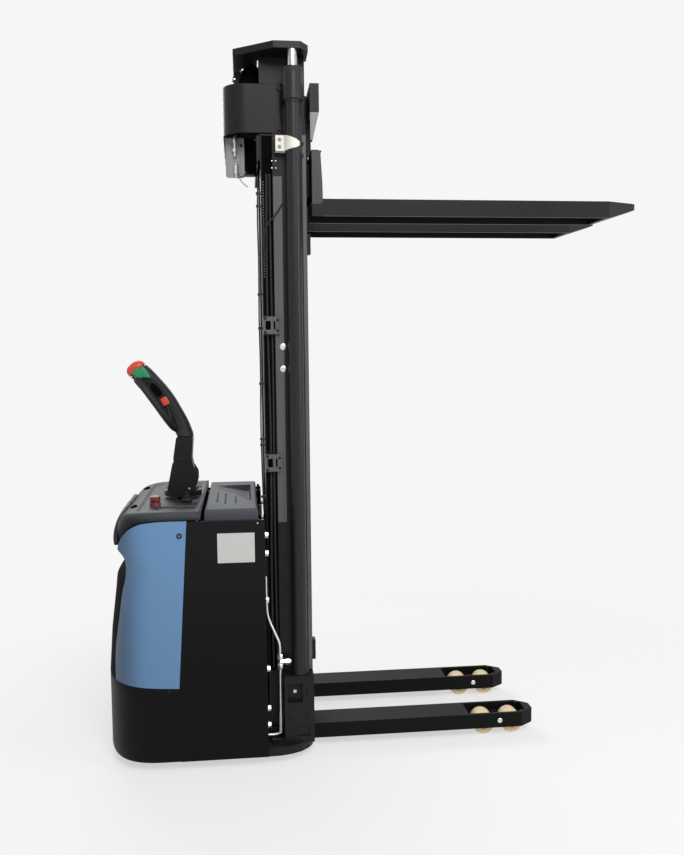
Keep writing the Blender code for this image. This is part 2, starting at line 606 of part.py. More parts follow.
def build_base():
    adds = []
    cuts = []
    for side, _ in SIDES:
        adds.append(prism(mirrored(FOOT_HALF, side), "z", *FOOT_Z))
        adds.append(block(BOX_X, 0, *span(side, OUTER_WEB_Y + 2, BOX_HALF), FOOT_Z[1] - 2, CYL_FOOT_Z))
        adds.append(block(RAIL_REAR_X, -170, *span(side, *RAIL_Y), FLOOR_Z[0] + 2, BRIDGE_Z[1]))
        adds.append(block(-150, BOX_X, *span(side, 282, 338), FOOT_Z[1] - 2, FOOT_Z[1] + 12))
        cuts.append(block(*WINDOW_X, *span(side, BOX_HALF - 22, BOX_HALF + 5), *WINDOW_Z))
        cuts.append(block(-60, -15, *span(side, BOX_HALF - 6, BOX_HALF + 5), 80, 120))
    adds.append(prism(plan_ring(FLOOR_INSET, 1.0, -170), "z", *FLOOR_Z))
    adds.append(block(-600, BATTERY_X[0] - 6, -RAIL_Y[1], RAIL_Y[1], *BRIDGE_Z))
    cuts.append(disc("z", (STEER_X, 0), DRIVE_R + 20, FLOOR_Z[0] - 10, FLOOR_Z[1] + 12, 40))
    cuts.append(disc("z", (STEER_X, 0), MOTOR_R + .8, BRIDGE_Z[0] - 7, BRIDGE_Z[1] + 8))
    rear = block(-200, -MAST_DEPTH - .6, -275, 275, 62, FLOOR_Z[1] - 2)
    node("base_frame", "chassis", "black_paint",
         block(-158, -GAP, -FOOT_BLOCK_HALF, FOOT_BLOCK_HALF, FOOT_Z[0], FOOT_BLOCK_TOP),
         add=[rear] + adds, cut=cuts)
    for side, tag in SIDES:
        build_leg(side * LEG_Y, tag)
        build_pipe(side * PIPE_Y, tag)
    cable_x = -MAST_DEPTH - CABLE_R - .4
    node("mast_cable", "chassis", "black_plastic",
         pipe([(cable_x, -CABLE_Y, z) for z in (2050, 1500, 880)], CABLE_R, 10))


def build_leg(y, tag):
    """Straddle leg with a wheel bay, and its bogie and two wheels."""
    taper = LEG_END_X - 50
    plan = ((GAP, -LEG_HALF), (taper, -LEG_HALF), (LEG_END_X - 9, -30), (LEG_END_X, -22),
            (LEG_END_X, 22), (LEG_END_X - 9, 30), (taper, LEG_HALF), (GAP, LEG_HALF))
    inner = LEG_HALF - LEG_WALL
    bay = block(BAY_X[0], BAY_X[1] - NOSE_L + 2, y - inner, y + inner, 20, 100)
    nose = block(BAY_X[1] - NOSE_L, BAY_X[1], y - NOSE_HALF, y + NOSE_HALF, 20, 100)
    node("leg_" + tag, "chassis", "black_paint", prism([(px, py + y) for px, py in plan], "z", *LEG_Z),
         cut=[bay, nose])

    outer = inner - BOGIE_PLAY
    low, high = LOAD_WHEEL_R - 6, LOAD_WHEEL_R + 10
    rear_x, front_x = LOAD_WHEEL_X[0] - 22, LOAD_WHEEL_X[1] + 22
    cheek = rounded(((rear_x, low), (front_x, low), (front_x, high), (BOGIE_X, high + 12),
                     (rear_x, high)), 8, 3)
    cheeks = [prism(cheek, "y", *sorted((y + s * (outer - BOGIE_T), y + s * outer))) for s, _ in SIDES]
    bridge = block(BOGIE_X - BRIDGE_HALF, BOGIE_X + BRIDGE_HALF, y - outer + 2, y + outer - 2,
                   BOGIE_Z - 10, BOGIE_Z + 9)
    pin = disc("y", (BOGIE_X, BOGIE_Z), PIN_R, y - inner + GAP, y + inner - GAP, 24)
    node("bogie_" + tag, "bogie_" + tag, "black_paint", bridge, add=cheeks + [pin])
    reach = outer - BOGIE_T - GAP
    for x, place in zip(LOAD_WHEEL_X, ("rear", "front")):
        node("load_wheel_%s_%s" % (place, tag), "%s_wheel_%s" % (place, tag), "polyurethane",
             disc("y", (x, LOAD_WHEEL_R), LOAD_WHEEL_R, y - LOAD_WHEEL_HALF, y + LOAD_WHEEL_HALF, 48),
             add=[disc("y", (x, LOAD_WHEEL_R), LOAD_HUB_R, y - reach, y + reach, 20)])


def build_pipe(y, tag):
    """Steel pipe beside the mast with its union and two nuts."""
    route = [(-164, 655), (-163, 560), (-150, 500), (-122, 425), (PIPE_X, 400), (PIPE_X, 100),
             (PIPE_X - 4, 86), (-134, 80), (-166, 80)]
    node("hydraulic_pipe_" + tag, "chassis", "zinc", pipe([(x, y, z) for x, z in route], PIPE_R),
         add=[disc("x", (y, UNION_Z), 11, PIPE_X - 10, CYL_X - TUBE_R + 1, 6),
              disc("z", (PIPE_X, y), 9, UNION_Z + 5, UNION_Z + 27, 6),
              disc("z", (PIPE_X, y), 9, UNION_Z - 27, UNION_Z - 5, 6)],
         cut=[disc("z", (CYL_X, math.copysign(CYL_Y, y)), TUBE_R + GAP, 300, 400, 32)])


# --- body ----------------------------------------------------------------

def plan_ring(inset, bulge=1.0, front_x=-300.0, count=15):
    """Plan outline of the rear body: straight sides, superelliptic rear."""
    b = BODY_HALF_WIDTH - inset
    a = (PLAN_BEND_X - BODY_REAR_X) * bulge - inset
    half = []
    for k in range(count + 1):
        t = math.pi / 2 * k / count
        half.append((PLAN_BEND_X - a * math.sin(t) ** (2 / PLAN_POWER),
                     b * max(math.cos(t), 0) ** (2 / PLAN_POWER)))
    right = [(front_x, -b)] + [(x, -y) for x, y in half]
    left = [(x, y) for x, y in half[:-1]][::-1] + [(front_x, b)]
    return right + left


def bulge_at(z):
    for (z0, k0), (z1, k1) in zip(BULGE, BULGE[1:]):
        if z <= z1:
            return k0 + (k1 - k0) * max(0, z - z0) / (z1 - z0)
    return BULGE[-1][1]


def body_loft(z0, z1, inset, front_x):
    levels = sorted({z0, z1} | {z for z, _ in BULGE if z0 < z < z1})
    return loft([[(x, y, z) for x, y in plan_ring(inset, bulge_at(z), front_x)] for z in levels])


def cross_body(points):
    """A prism of an X-Z outline that runs right across the body."""
    return prism(points, "y", -BODY_HALF_WIDTH - 28, BODY_HALF_WIDTH + 28)


def build_body():
    for side, tag in SIDES:
        outline = ((PANEL_FRONT_X, PANEL_LOW_Z), (PANEL_FRONT_X, PANEL_TOP_Z), *PANEL_SEAM,
                   (PANEL_SEAM[1][0], PANEL_LOW_Z))
        outside = BODY_HALF_WIDTH - 1
        ledge = [block(HOOD_FRONT_X, PANEL_FRONT_X, *span(side, LID_HALF - 7, outside), *LEDGE_Z),
                 block(PANEL_FRONT_X - 4, PANEL_FRONT_X, *span(side, 346, outside), 320, LEDGE_Z[1])]
        node("side_panel_" + tag, "chassis", "black_paint",
             prism(outline, "y", *span(side, BODY_HALF_WIDTH - PANEL_T, BODY_HALF_WIDTH)), add=ledge)
        edge = COVER_TOP + COVER_REAR + ((PANEL_SEAM[1][0] - .6, COVER_REAR[-1][1]),)
        node("blue_cover_" + tag, "chassis", "blue_paint",
             carved(body_loft(300, 880, 0, -420), [body_loft(290, 890, SHELL_T, -400)]),
             keep=[prism(edge, "y", *span(side, 60, 450))])

    rear_edge = [(x - 1.5, z) for x, z in COVER_REAR[3:-1]] + [(-693.5, SKIRT_TOP_Z + GAP)]
    panel = carved(carved(body_loft(300, 700, 0, -420), [body_loft(290, 720, SHELL_T, -400)]),
                   [cross_body([(-653, 652)] + rear_edge + [(-760, SKIRT_TOP_Z + GAP), (-760, 652)])],
                   "INTERSECT")
    foot = RECESS_WALL_Z[0] - 16
    wall = carved(body_loft(foot, RECESS_WALL_Z[1], 24, -560), [body_loft(600, 800, 28, -500)])
    shelf = carved(body_loft(foot, foot + 4, 4, -600), [body_loft(600, 700, 26, -540)])
    recess = carved(wall, [shelf], "UNION")
    node("rear_panel", "chassis", "black_paint", panel, add=[recess])
    node("skirt", "chassis", "black_paint",
         carved(body_loft(PANEL_LOW_Z, SKIRT_TOP_Z, 0, -466), [body_loft(20, 320, PANEL_T, -400)]))
    build_hood()

    rear_x, front_x = LID_X
    lid = rounded(((rear_x, -LID_HALF), (front_x, -LID_HALF), (front_x, LID_HALF),
                   (rear_x, LID_HALF)), 10, 3)
    inside = block(rear_x + 4, front_x - 4, -LID_HALF + 4, LID_HALF - 4, 850, LID_TOP - 4)
    node("battery_cover", "battery_lid", "grey_plastic",
         prism(lid, "z", LEDGE_Z[1] + GAP, LID_TOP), cut=[inside])
    node("battery", "chassis", "black_plastic",
         block(*BATTERY_X, -BATTERY_HALF, BATTERY_HALF, FLOOR_Z[1] + GAP, BATTERY_TOP))
    seat = BRIDGE_Z[1] + GAP
    node("pump_unit", "chassis", "black_paint", disc("z", (-500, 225), 62, seat, 470),
         add=[block(-440, BATTERY_X[0] - 14, 165, 320, seat, 520),
              block(-470, -420, 200, 250, seat + 18, 330)])


def build_hood():
    """Thin shell between the side covers' top edge and the crest of the deck."""
    rim = [(HOOD_FRONT_X, COVER_TOP[0][1] + 2.4)]
    rim += [(x - 2.5 * k / len(COVER_TOP), z + 2.4) for k, (x, z) in enumerate(COVER_TOP)]
    rim += [(-700, 745)]
    profile = rim + list(HOOD_CREST) + [(HOOD_FRONT_X, HOOD_TOP_Z)]
    inside = [(x + 6, z - 12) for x, z in rim[1:]]
    inside = [(HOOD_FRONT_X + 6, rim[0][1] - 12)] + inside
    inside += [(-770, 680), (-722, 716), (-690, 798), (-651, 882), (-630, 891), (-590, 899),
               (-560, HOOD_TOP_Z - SHELL_T), (HOOD_FRONT_X + 6, HOOD_TOP_Z - SHELL_T)]
    shell = carved(body_loft(640, 910, 0, HOOD_FRONT_X), [cross_body(profile)], "INTERSECT")
    hollow = carved(body_loft(640, 910, SHELL_T, -350), [cross_body(inside)], "INTERSECT")
    node("hood", "chassis", "grey_plastic", shell,
         cut=[hollow, disc("z", (STEER_X, 0), COLUMN_R + 4, 880, 920),
              disc("z", (STOP_X, STOP_Y), 10, 880, 920, 24), disc("z", (KEY_X, KEY_Y), 8, 880, 920, 24)])


# --- drive, tiller and controls -------------------------------------------

def stem_outline(half, start, end):
    """X-Z outline of a square stem along the belly button's travel."""
    px, pz = CAP_PUSH
    return [(CAP_X + px * t - pz * w, CAP_Z + pz * t + px * w)
            for t, w in ((start, -half), (end, -half), (end, half), (start, half))]


def wing_outline():
    """Bow-tie outline of a thumb wing, long across the handle's direction."""
    px, pz = CAP_PUSH
    shape = ((-1, -.6), (-.8, .7), (0, .5), (.85, .9), (1, -.2), (.75, -1), (0, -.55), (-.75, -1))
    return rounded([(THUMB_X - pz * a * WING_L - px * b * WING_H, THUMB_Z + px * a * WING_L - pz * b * WING_H)
                    for a, b in shape], 7, 3)


def build_drive():
    gearbox_top = TABLE_Z[0] + 12
    gearbox = rounded(((STEER_X - 46, 85), (STEER_X + 46, 85), (STEER_X + 46, gearbox_top),
                       (STEER_X - 46, gearbox_top)), 20, 4)
    node("drive_unit", "steer", "black_paint", disc("z", (STEER_X, 0), MOTOR_R, TABLE_Z[0] + 2, MOTOR_TOP),
         add=[disc("z", (STEER_X, 0), COLUMN_R, MOTOR_TOP - 10, 915, 24),
              disc("z", (STEER_X, 0), DRIVE_R + 7, *TABLE_Z, 40),
              prism(gearbox, "y", DRIVE_HALF + 3, 92), disc("y", (STEER_X, DRIVE_R), 40, 88, 96, 24)])
    node("drive_wheel", "drive", "rubber",
         disc("y", (STEER_X, DRIVE_R), DRIVE_R, -DRIVE_HALF, DRIVE_HALF, 64),
         add=[disc("y", (STEER_X, DRIVE_R), DRIVE_HUB_R, -DRIVE_HALF - 4, DRIVE_HALF + 2.7, 24)])


def build_tiller():
    cheek = rounded(((-522, 918), (-421, 918), (-406, 962), (-406, 992), (-424, 1022),
                     (-446, 1034), (-497, 1036), (-503, 1010)), 8, 3)
    cheeks = [prism(cheek, "y", *span(side, *CHEEK_Y)) for side, _ in SIDES]
    node("tiller_base", "steer", "black_paint", disc("z", (STEER_X, 0), 70, HOOD_TOP_Z + 1, 925, 40),
         add=cheeks + [block(STEER_X - 52, STEER_X + 40, -44, 44, 920, 926)],
         cut=[disc("z", (STEER_X, 0), COLUMN_R + GAP, 900, 916, 24)])

    arm = rounded(((-496, 1046), (-483, ARM_TOP - GAP), (-421, ARM_TOP - GAP), (-427, 1046),
                   (-416, 985), (-450, 948), (-488, 975)), 8, 3)
    inside = rounded(((-490, 1046), (-478, 1140), (-426, 1140), (-433, 1046),
                      (-424, 990), (-424, 930), (-490, 930)), 6, 3)
    tube = carved(prism(arm, "y", -ARM_HALF, ARM_HALF),
                  [prism(inside, "y", -ARM_HALF + ARM_WALL, ARM_HALF - ARM_WALL)])
    spindle = disc("y", (PIVOT_X, PIVOT_Z), 12, -CHEEK_Y[0] + GAP, CHEEK_Y[0] - GAP, 24)
    node("tiller_arm", "tiller", "black_paint", tube, add=[spindle])
    build_handle()


def build_handle():
    outline = rounded(((-484, ARM_TOP), (-418, ARM_TOP), (-425, 1160), (-450, 1227), (-482, 1282),
                       (-511, 1321), (-539, 1354), (-574, 1389), (-589, 1396), (-643, 1346), (-616, 1320),
                       (-589, 1290), (-563, 1243), (-527, 1198), (-501, 1160)), 8, 3)
    grips = [pipe([(x, side * y, z) for x, y, z in
                   ((-494, 20, 1184), (-512, 50, 1198), (-532, 72, 1226), (-554, 82, 1258),
                    (-574, 76, 1286), (-588, 56, 1304), (-590, 20, 1308))], GRIP_R) for side, _ in SIDES]
    node("tiller_handle", "tiller", "black_plastic",
         prism(outline, "y", -HANDLE_HALF, HANDLE_HALF), add=grips,
         cut=[disc("y", (HORN_X, HORN_Z), HORN_R + .5, -HANDLE_HALF - 8, -HANDLE_HALF + 6, 24),
              disc("y", (THUMB_X, THUMB_Z), THUMB_PIN_R + GAP, -HANDLE_HALF - 20, HANDLE_HALF + 20, 24),
              prism(stem_outline(STEM_HALF + STEM_PLAY, -8, STEM_L + 5), "y",
                    -STEM_HALF - STEM_PLAY, STEM_HALF + STEM_PLAY)])
    wings = [prism(wing_outline(), "y", *span(side, *THUMB_Y)) for side, _ in SIDES]
    node("thumb_switch", "thumb", "green_plastic",
         disc("y", (THUMB_X, THUMB_Z), THUMB_PIN_R, -THUMB_Y[1] + 7, THUMB_Y[1] - 7, 24), add=wings)
    cap = rounded(((-592, 1400), (-647, 1349), (-657, 1372), (-655, 1394), (-640, 1409), (-608, 1413)), 9, 4)
    node("belly_button", "belly", "orange_plastic", prism(cap, "y", -CAP_HALF, CAP_HALF),
         add=[prism(stem_outline(STEM_HALF, -8, STEM_L), "y", -STEM_HALF, STEM_HALF)])
    node("horn_button", "horn", "orange_plastic",
         disc("y", (HORN_X, HORN_Z), HORN_R, -HANDLE_HALF - 4, -HANDLE_HALF + 3, 20))


def build_controls():
    node("stop_button", "stop", "red_plastic", disc("z", (STOP_X, STOP_Y), STOP_R, 914, 932),
         add=[disc("z", (STOP_X, STOP_Y), 9, 892, 916, 24)])
    node("key_switch", "key", "black_plastic", disc("z", (KEY_X, KEY_Y), KEY_R, HOOD_TOP_Z + GAP, 918, 24),
         add=[disc("z", (KEY_X, KEY_Y), 7, 890, 907, 24),
              block(KEY_X - 4, KEY_X + 4, KEY_Y - KEY_R, KEY_Y + KEY_R, 916, 934)])


def main():
    for obj in list(bpy.data.objects):
        bpy.data.objects.remove(obj, do_unlink=True)
    make_pivots()
    build_base()
    build_outer_mast()
    build_middle_mast()
    build_inner_mast()
    build_free_lift_head()
    build_carriage()
    build_body()
    build_drive()
    build_tiller()
    build_controls()


main()
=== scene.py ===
"""Walkie stacker: finishes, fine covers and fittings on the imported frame.

Every place is given in millimetres from the front edge of the mast at floor
level (X forwards, Y to the machine's left, Z up), and `spot` turns it into the
frame's metres.
"""
import json
import math

import bmesh
import bpy
import numpy as np
from mathutils import Matrix, Vector


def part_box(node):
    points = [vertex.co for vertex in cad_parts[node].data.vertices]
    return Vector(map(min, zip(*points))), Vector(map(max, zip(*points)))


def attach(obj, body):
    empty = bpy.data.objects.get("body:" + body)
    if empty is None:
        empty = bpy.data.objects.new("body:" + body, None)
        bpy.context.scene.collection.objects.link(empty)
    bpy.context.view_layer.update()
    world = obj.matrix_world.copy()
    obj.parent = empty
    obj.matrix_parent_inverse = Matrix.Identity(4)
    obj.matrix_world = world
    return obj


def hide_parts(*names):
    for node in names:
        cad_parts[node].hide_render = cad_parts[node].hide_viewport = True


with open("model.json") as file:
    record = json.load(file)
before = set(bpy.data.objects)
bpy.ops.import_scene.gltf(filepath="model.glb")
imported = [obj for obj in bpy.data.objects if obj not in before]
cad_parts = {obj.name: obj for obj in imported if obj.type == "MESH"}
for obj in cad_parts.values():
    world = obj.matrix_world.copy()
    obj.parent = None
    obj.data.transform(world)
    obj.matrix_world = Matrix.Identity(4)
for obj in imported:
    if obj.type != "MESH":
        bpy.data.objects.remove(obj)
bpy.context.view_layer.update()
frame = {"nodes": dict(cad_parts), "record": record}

bl_info = {
    "name": "Walkie Stacker",
    "version": (1, 0, 0),
    "blender": (4, 5, 0),
    "location": "3D View > Sidebar > Stacker",
    "description": "Builds the finishes and fine pieces of a walkie stacker",
    "category": "Object",
}

PAD_DEPTH = 0.012
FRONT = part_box("outer_channel_R")[1].x - PAD_DEPTH      # front edge of the mast
SIDES = (-1, 1)
SIDE_TAGS = ((-1, "R"), (1, "L"))
UP, FORWARDS = (0, 0, 1), (1, 0, 0)
ACROSS = np.array([0, 1.0, 0])


def spot(x, y, z):
    """Millimetres from the mast's front edge to frame metres, for numbers or arrays."""
    x, y, z = np.broadcast_arrays(np.asarray(x, float), np.asarray(y, float), np.asarray(z, float))
    return np.stack([FRONT + x / 1000, y / 1000, z / 1000], -1)


def around(node):
    """A node's (low, high) corners in millimetres from the mast's front edge."""
    low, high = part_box(node)
    return [((p.x - FRONT) * 1000, p.y * 1000, p.z * 1000) for p in (low, high)]


def middle_of(node):
    """Middle of a node's box in millimetres."""
    low, high = around(node)
    return [(a + b) / 2 for a, b in zip(low, high)]


# --- user settings ------------------------------------------------------------------

class StackerSizes(bpy.types.PropertyGroup):
    edge: bpy.props.FloatProperty(
        name="Plate edge", description="Width of the softened edge on steel plates",
        default=0.0014, min=0.0, max=0.01, unit="LENGTH")
    grip: bpy.props.FloatProperty(
        name="Grip", description="Radius of the tiller's grips",
        default=0.0135, min=0.008, max=0.02, unit="LENGTH")
    hood_edge: bpy.props.FloatProperty(
        name="Hood edge", description="Radius of the hood's shoulder",
        default=0.026, min=0.005, max=0.05, unit="LENGTH")


class StackerColours(bpy.types.PropertyGroup):
    black: bpy.props.FloatVectorProperty(
        name="Black paint", description="Satin paint on mast, forks, legs and panels",
        default=(0.0071, 0.0070, 0.0080), subtype="COLOR", size=3, min=0, max=1)
    blue: bpy.props.FloatVectorProperty(
        name="Blue paint", description="Paint of the two side covers",
        default=(0.108, 0.215, 0.375), subtype="COLOR", size=3, min=0, max=1)
    grey: bpy.props.FloatVectorProperty(
        name="Grey plastic", description="Moulded hood and battery cover",
        default=(0.072, 0.077, 0.088), subtype="COLOR", size=3, min=0, max=1)
    amber: bpy.props.FloatVectorProperty(
        name="Wheel amber", description="Polyurethane of the load wheels",
        default=(0.80, 0.62, 0.36), subtype="COLOR", size=3, min=0, max=1)


# --- shader maths ---------------------------------------------------------------------

class Sock:
    """One output socket; arithmetic on it adds Math nodes to its tree."""

    def __init__(self, nodes, socket):
        self.nodes, self.socket = nodes, socket

    def _op(self, operation, *terms):
        return self.nodes.add("ShaderNodeMath", {"operation": operation}, dict(enumerate(terms)))

    def __add__(self, other): return self._op("ADD", self, other)
    def __radd__(self, other): return self._op("ADD", other, self)
    def __mul__(self, other): return self._op("MULTIPLY", self, other)
    def __rmul__(self, other): return self._op("MULTIPLY", other, self)
    def __pow__(self, other): return self._op("POWER", self, other)
    def __gt__(self, other): return self._op("GREATER_THAN", self, other)
    def size(self): return self._op("ABSOLUTE", self)

    def ramp(self, low, high, out_low=0.0, out_high=1.0):
        """Smooth step from out_low at low to out_high at high."""
        return self.nodes.add("ShaderNodeMapRange", {"interpolation_type": "SMOOTHSTEP"},
                              {"Value": self, "From Min": low, "From Max": high,
                               "To Min": out_low, "To Max": out_high})


class Nodes:
    """A node tree, with helpers that add nodes to it."""

    def __init__(self, tree):
        self.tree = tree

    def add(self, kind, settings=None, values=None, output=0):
        """Any node, from its type, its settings and the values or links of its sockets."""
        node = self.tree.nodes.new(kind)
        for key, value in (settings or {}).items():
            setattr(node, key, value)
        for key, value in (values or {}).items():
            self.feed(node.inputs[key], value)
        return Sock(self, node.outputs[output]) if node.outputs else None

    def feed(self, socket, value):
        """Links a socket to another, or sets its value; a colour is opaque."""
        if isinstance(value, Sock):
            self.tree.links.new(value.socket, socket)
        elif socket.type == "RGBA":
            socket.default_value = (*value[:3], 1)
        else:
            socket.default_value = value

    def place(self, centre=(0, 0, 0)):
        """Object coordinates, counted from a centre in frame metres."""
        here = self.add("ShaderNodeTexCoord", output=3)
        return self.add("ShaderNodeVectorMath", {"operation": "SUBTRACT"}, {0: here, 1: centre})

    def stretch(self, where, scale):
        """Coordinates multiplied by one factor per axis."""
        return self.add("ShaderNodeVectorMath", {"operation": "MULTIPLY"}, {0: where, 1: scale})

    def axes(self, where):
        """X, Y and Z as numbers."""
        parts = self.add("ShaderNodeSeparateXYZ", values={0: where})
        return [Sock(self, o) for o in parts.socket.node.outputs]

    def noise(self, where, scale, detail=3.0, rough=0.55):
        """Cloudy noise with scale features per metre."""
        return self.add("ShaderNodeTexNoise", {}, {"Vector": where, "Scale": scale,
                                                   "Detail": detail, "Roughness": rough})

    def cells(self, where, scale):
        """Distance to the nearest of scattered points."""
        return self.add("ShaderNodeTexVoronoi", {}, {"Vector": where, "Scale": scale})

    def mix(self, amount, first, second):
        """Colour mix; first and second are colours or colour sockets."""
        return self.add("ShaderNodeMix", {"data_type": "RGBA"},
                        {0: amount, 6: first, 7: second}, output=2)

    def bump(self, height, strength, distance):
        """Surface relief of a height, distance metres deep at full strength."""
        return self.add("ShaderNodeBump", {}, {"Height": height, "Strength": strength,
                                               "Distance": distance})


class Paint(Nodes):
    """A material on one Principled shader; fixed holds the sockets that stay plain."""

    def __init__(self, name, **fixed):
        self.material = bpy.data.materials.new(name)
        self.material.use_nodes = True
        super().__init__(self.material.node_tree)
        self.shader = self.tree.nodes["Principled BSDF"]
        self.done(**fixed)

    def done(self, **links):
        """Feeds the shader's sockets and gives the material."""
        for socket, value in links.items():
            self.feed(self.shader.inputs[socket.replace("_", " ")], value)
        return self.material


FINISHES = {}


def finish(function):
    """Registers a finish; each is made once, on first use."""
    def made(*args):
        """The finish for these settings, made if it is new."""
        key = (function.__name__, args)
        if key not in FINISHES:
            FINISHES[key] = function(*args)
        return FINISHES[key]
    return made


def tone(base, factor):
    """A colour made darker or lighter by a factor."""
    return tuple(min(1.0, c * factor) for c in base)


def two_tone(name, dark, light, cloud, rough, grain=None, stretch=None, **fixed):
    """Finish of two colours mixed by one noise, cloud = (scale, detail, roughness),
    which may be stretched along an axis. rough is the least roughness and how much
    the cloud adds. grain = (scale, strength, depth) is the bump, of a finer noise,
    or of the cloud itself where scale is None."""
    p = Paint(name, **fixed)
    where = p.place()
    amount = p.noise(p.stretch(where, stretch) if stretch else where, *cloud)
    links = {"Base_Color": p.mix(amount, dark, light), "Roughness": rough[0] + amount * rough[1]}
    if grain:
        scale, strength, depth = grain
        links["Normal"] = p.bump(p.noise(where, scale) if scale else amount, strength, depth)
    return p.done(**links)


@finish
def satin_black():
    """Charcoal powder coat: orange peel, faint dust, dull scuffs low down."""
    base = bpy.context.scene.stacker_colours.black
    p = Paint("satin_black", Specular_IOR_Level=0.2)
    where = p.place()
    cloud = p.noise(where, 5.0, 4.0)
    peel = p.noise(where, 420.0, 2.0)
    low = p.axes(where)[2].ramp(0.0, 0.35, 1.0, 0.0)
    dust = p.noise(where, 38.0, 6.0, 0.7).ramp(0.55, 0.8) * (0.25 + low * 0.5)
    paint = p.mix(cloud, tone(base, 0.8), tone(base, 1.35))
    return p.done(Base_Color=p.mix(dust * 0.35, paint, tone(base, 5.0)),
                  Roughness=0.36 + cloud * 0.12 + dust * 0.2,
                  Normal=p.bump(peel, 0.10, 0.0004))


@finish
def panel_black():
    """Flatter, deeper black paint on panels, skirt and legs, dusty near the floor, with painted shade
    making it darker lower down.
    """
    base = tone(bpy.context.scene.stacker_colours.black, 0.6)
    p = Paint("panel_black", Specular_IOR_Level=0.10)
    where = p.place()
    cloud = p.noise(where, 4.0, 4.0)
    peel = p.noise(where, 380.0, 2.0)
    height = p.axes(where)[2]
    dust = p.noise(where, 30.0, 6.0, 0.7).ramp(0.55, 0.8) * height.ramp(0.0, 0.3, 0.6, 0.1)
    # painted shade: the paint is darker lower down and lighter towards the top
    paint = p.mix(height.ramp(0.3, 0.9), tone(base, 0.8), tone(base, 1.8))
    return p.done(Base_Color=p.mix(dust * 0.4, paint, tone(base, 5.0)),
                  Roughness=0.42 + cloud * 0.12, Normal=p.bump(peel, 0.08, 0.0004))


@finish
def painted_highlight_grey(light=1.0):
    """Charcoal lightened as a painted highlight on the mast's flat faces, streaked along their length;
    light scales how bright the painted highlight is.
    """
    return two_tone("painted_highlight_grey", tone((0.052, 0.052, 0.054), light),
                    tone((0.130, 0.130, 0.132), light), (3.0, 3.0), (0.34, 0.14),
                    (400.0, 0.08, 0.0004), (30, 30, 0.8), Specular_IOR_Level=0.3)


@finish
def deep_black_and_painted_shade(light=1.0):
    """Near-unlit black: painted shade inside the mast's recesses and the dark openings, and the deep
    black of the sheave guard, or lighter for the rear cover.
    """
    return two_tone("deep_black_and_painted_shade", tone((0.0012, 0.0012, 0.0013), light),
                    tone((0.0035, 0.0035, 0.0037), light), (20.0,), (0.7, 0.1),
                    Specular_IOR_Level=0.03)


@finish
def hood_grey():
    """Moulded grey plastic with painted shade: darker at the drooping rear and in the deck's well."""
    base = bpy.context.scene.stacker_colours.grey
    p = Paint("hood_grey", Specular_IOR_Level=0.14)
    where = p.place()
    grain = p.noise(where, 900.0, 2.0, 0.6)
    cloud = p.noise(where, 6.0)
    along, across, height = p.axes(where)
    # painted shade: low darkens the lower, drooping rear of the hood
    low = height.ramp(0.868, 0.9035, 0.0, 1.0)
    # painted shade: well darkens the deck's well
    well = along.ramp(FRONT - 0.560, FRONT - 0.535) * across.size().ramp(0.322, 0.334, 1.0, 0.0)
    well = well * height.ramp(0.899, 0.902, 1.0, 0.0) * height.ramp(0.885, 0.892)
    plastic = p.mix(low, tone(base, 0.16), p.mix(cloud, tone(base, 0.66), tone(base, 0.84)))
    return p.done(Base_Color=p.mix(well * 0.8, plastic, tone(base, 0.12)),
                  Roughness=0.46 + cloud * 0.12, Normal=p.bump(grain, 0.3, 0.0004))


@finish
def moulded_grey():
    """Grey textured plastic: fine pitted grain and speckle."""
    base = bpy.context.scene.stacker_colours.grey
    p = Paint("moulded_grey", Specular_IOR_Level=0.14)
    where = p.place()
    grain = p.noise(where, 900.0, 2.0, 0.6)
    cloud = p.noise(where, 6.0)
    speckle = p.noise(where, 1600.0, 1.0).ramp(0.58, 0.7)
    plastic = p.mix(cloud, tone(base, 0.82), tone(base, 1.04))
    return p.done(Base_Color=p.mix(speckle * 0.25, plastic, tone(base, 1.3)),
                  Roughness=0.50 + cloud * 0.12, Normal=p.bump(grain, 0.35, 0.0004))


@finish
def grained_black():
    """Moulded black plastic with a fine leather-like grain."""
    p = Paint("grained_black", Specular_IOR_Level=0.3)
    where = p.place()
    cloud = p.noise(where, 14.0)
    return p.done(Base_Color=p.mix(cloud, (0.0075, 0.0075, 0.008), (0.015, 0.015, 0.0155)),
                  Roughness=0.44 + cloud * 0.14, Normal=p.bump(p.cells(where, 700.0), 0.25, 0.0003))


@finish
def cover_blue():
    """Steel-blue paint with a slow drift in tone; painted shade darkens it round the rear bend, and
    painted light makes it a little lighter towards the top.
    """
    base = bpy.context.scene.stacker_colours.blue
    p = Paint("cover_blue", Specular_IOR_Level=0.3)
    where = p.place()
    drift = p.noise(where, 3.0, 2.0)
    peel = p.noise(where, 360.0, 2.0)
    along, _, height = p.axes(where)
    # painted shade: rear darkens the paint round the rear bend
    rear = along.ramp(FRONT - 0.685, FRONT - 0.575, 0.0, 1.0)
    # painted light: the paint is a little lighter towards the top
    paint = p.mix(height.ramp(0.30, 0.86), tone(base, 0.92), tone(base, 1.06))
    paint = p.mix(drift * 0.3, paint, tone(base, 1.14))
    return p.done(Base_Color=p.mix(rear, tone(base, 0.40), paint),
                  Roughness=0.40 + drift * 0.08, Normal=p.bump(peel, 0.08, 0.0004))


@finish
def gloss_black():
    """Smoother black enamel on the cylinders, with a faint vertical grind."""
    return two_tone("gloss_black", (0.008, 0.008, 0.009), (0.017, 0.017, 0.018), (4.0, 3.0),
                    (0.30, 0.14), (None, 0.05, 0.0004), (60, 60, 1.5), Specular_IOR_Level=0.26)


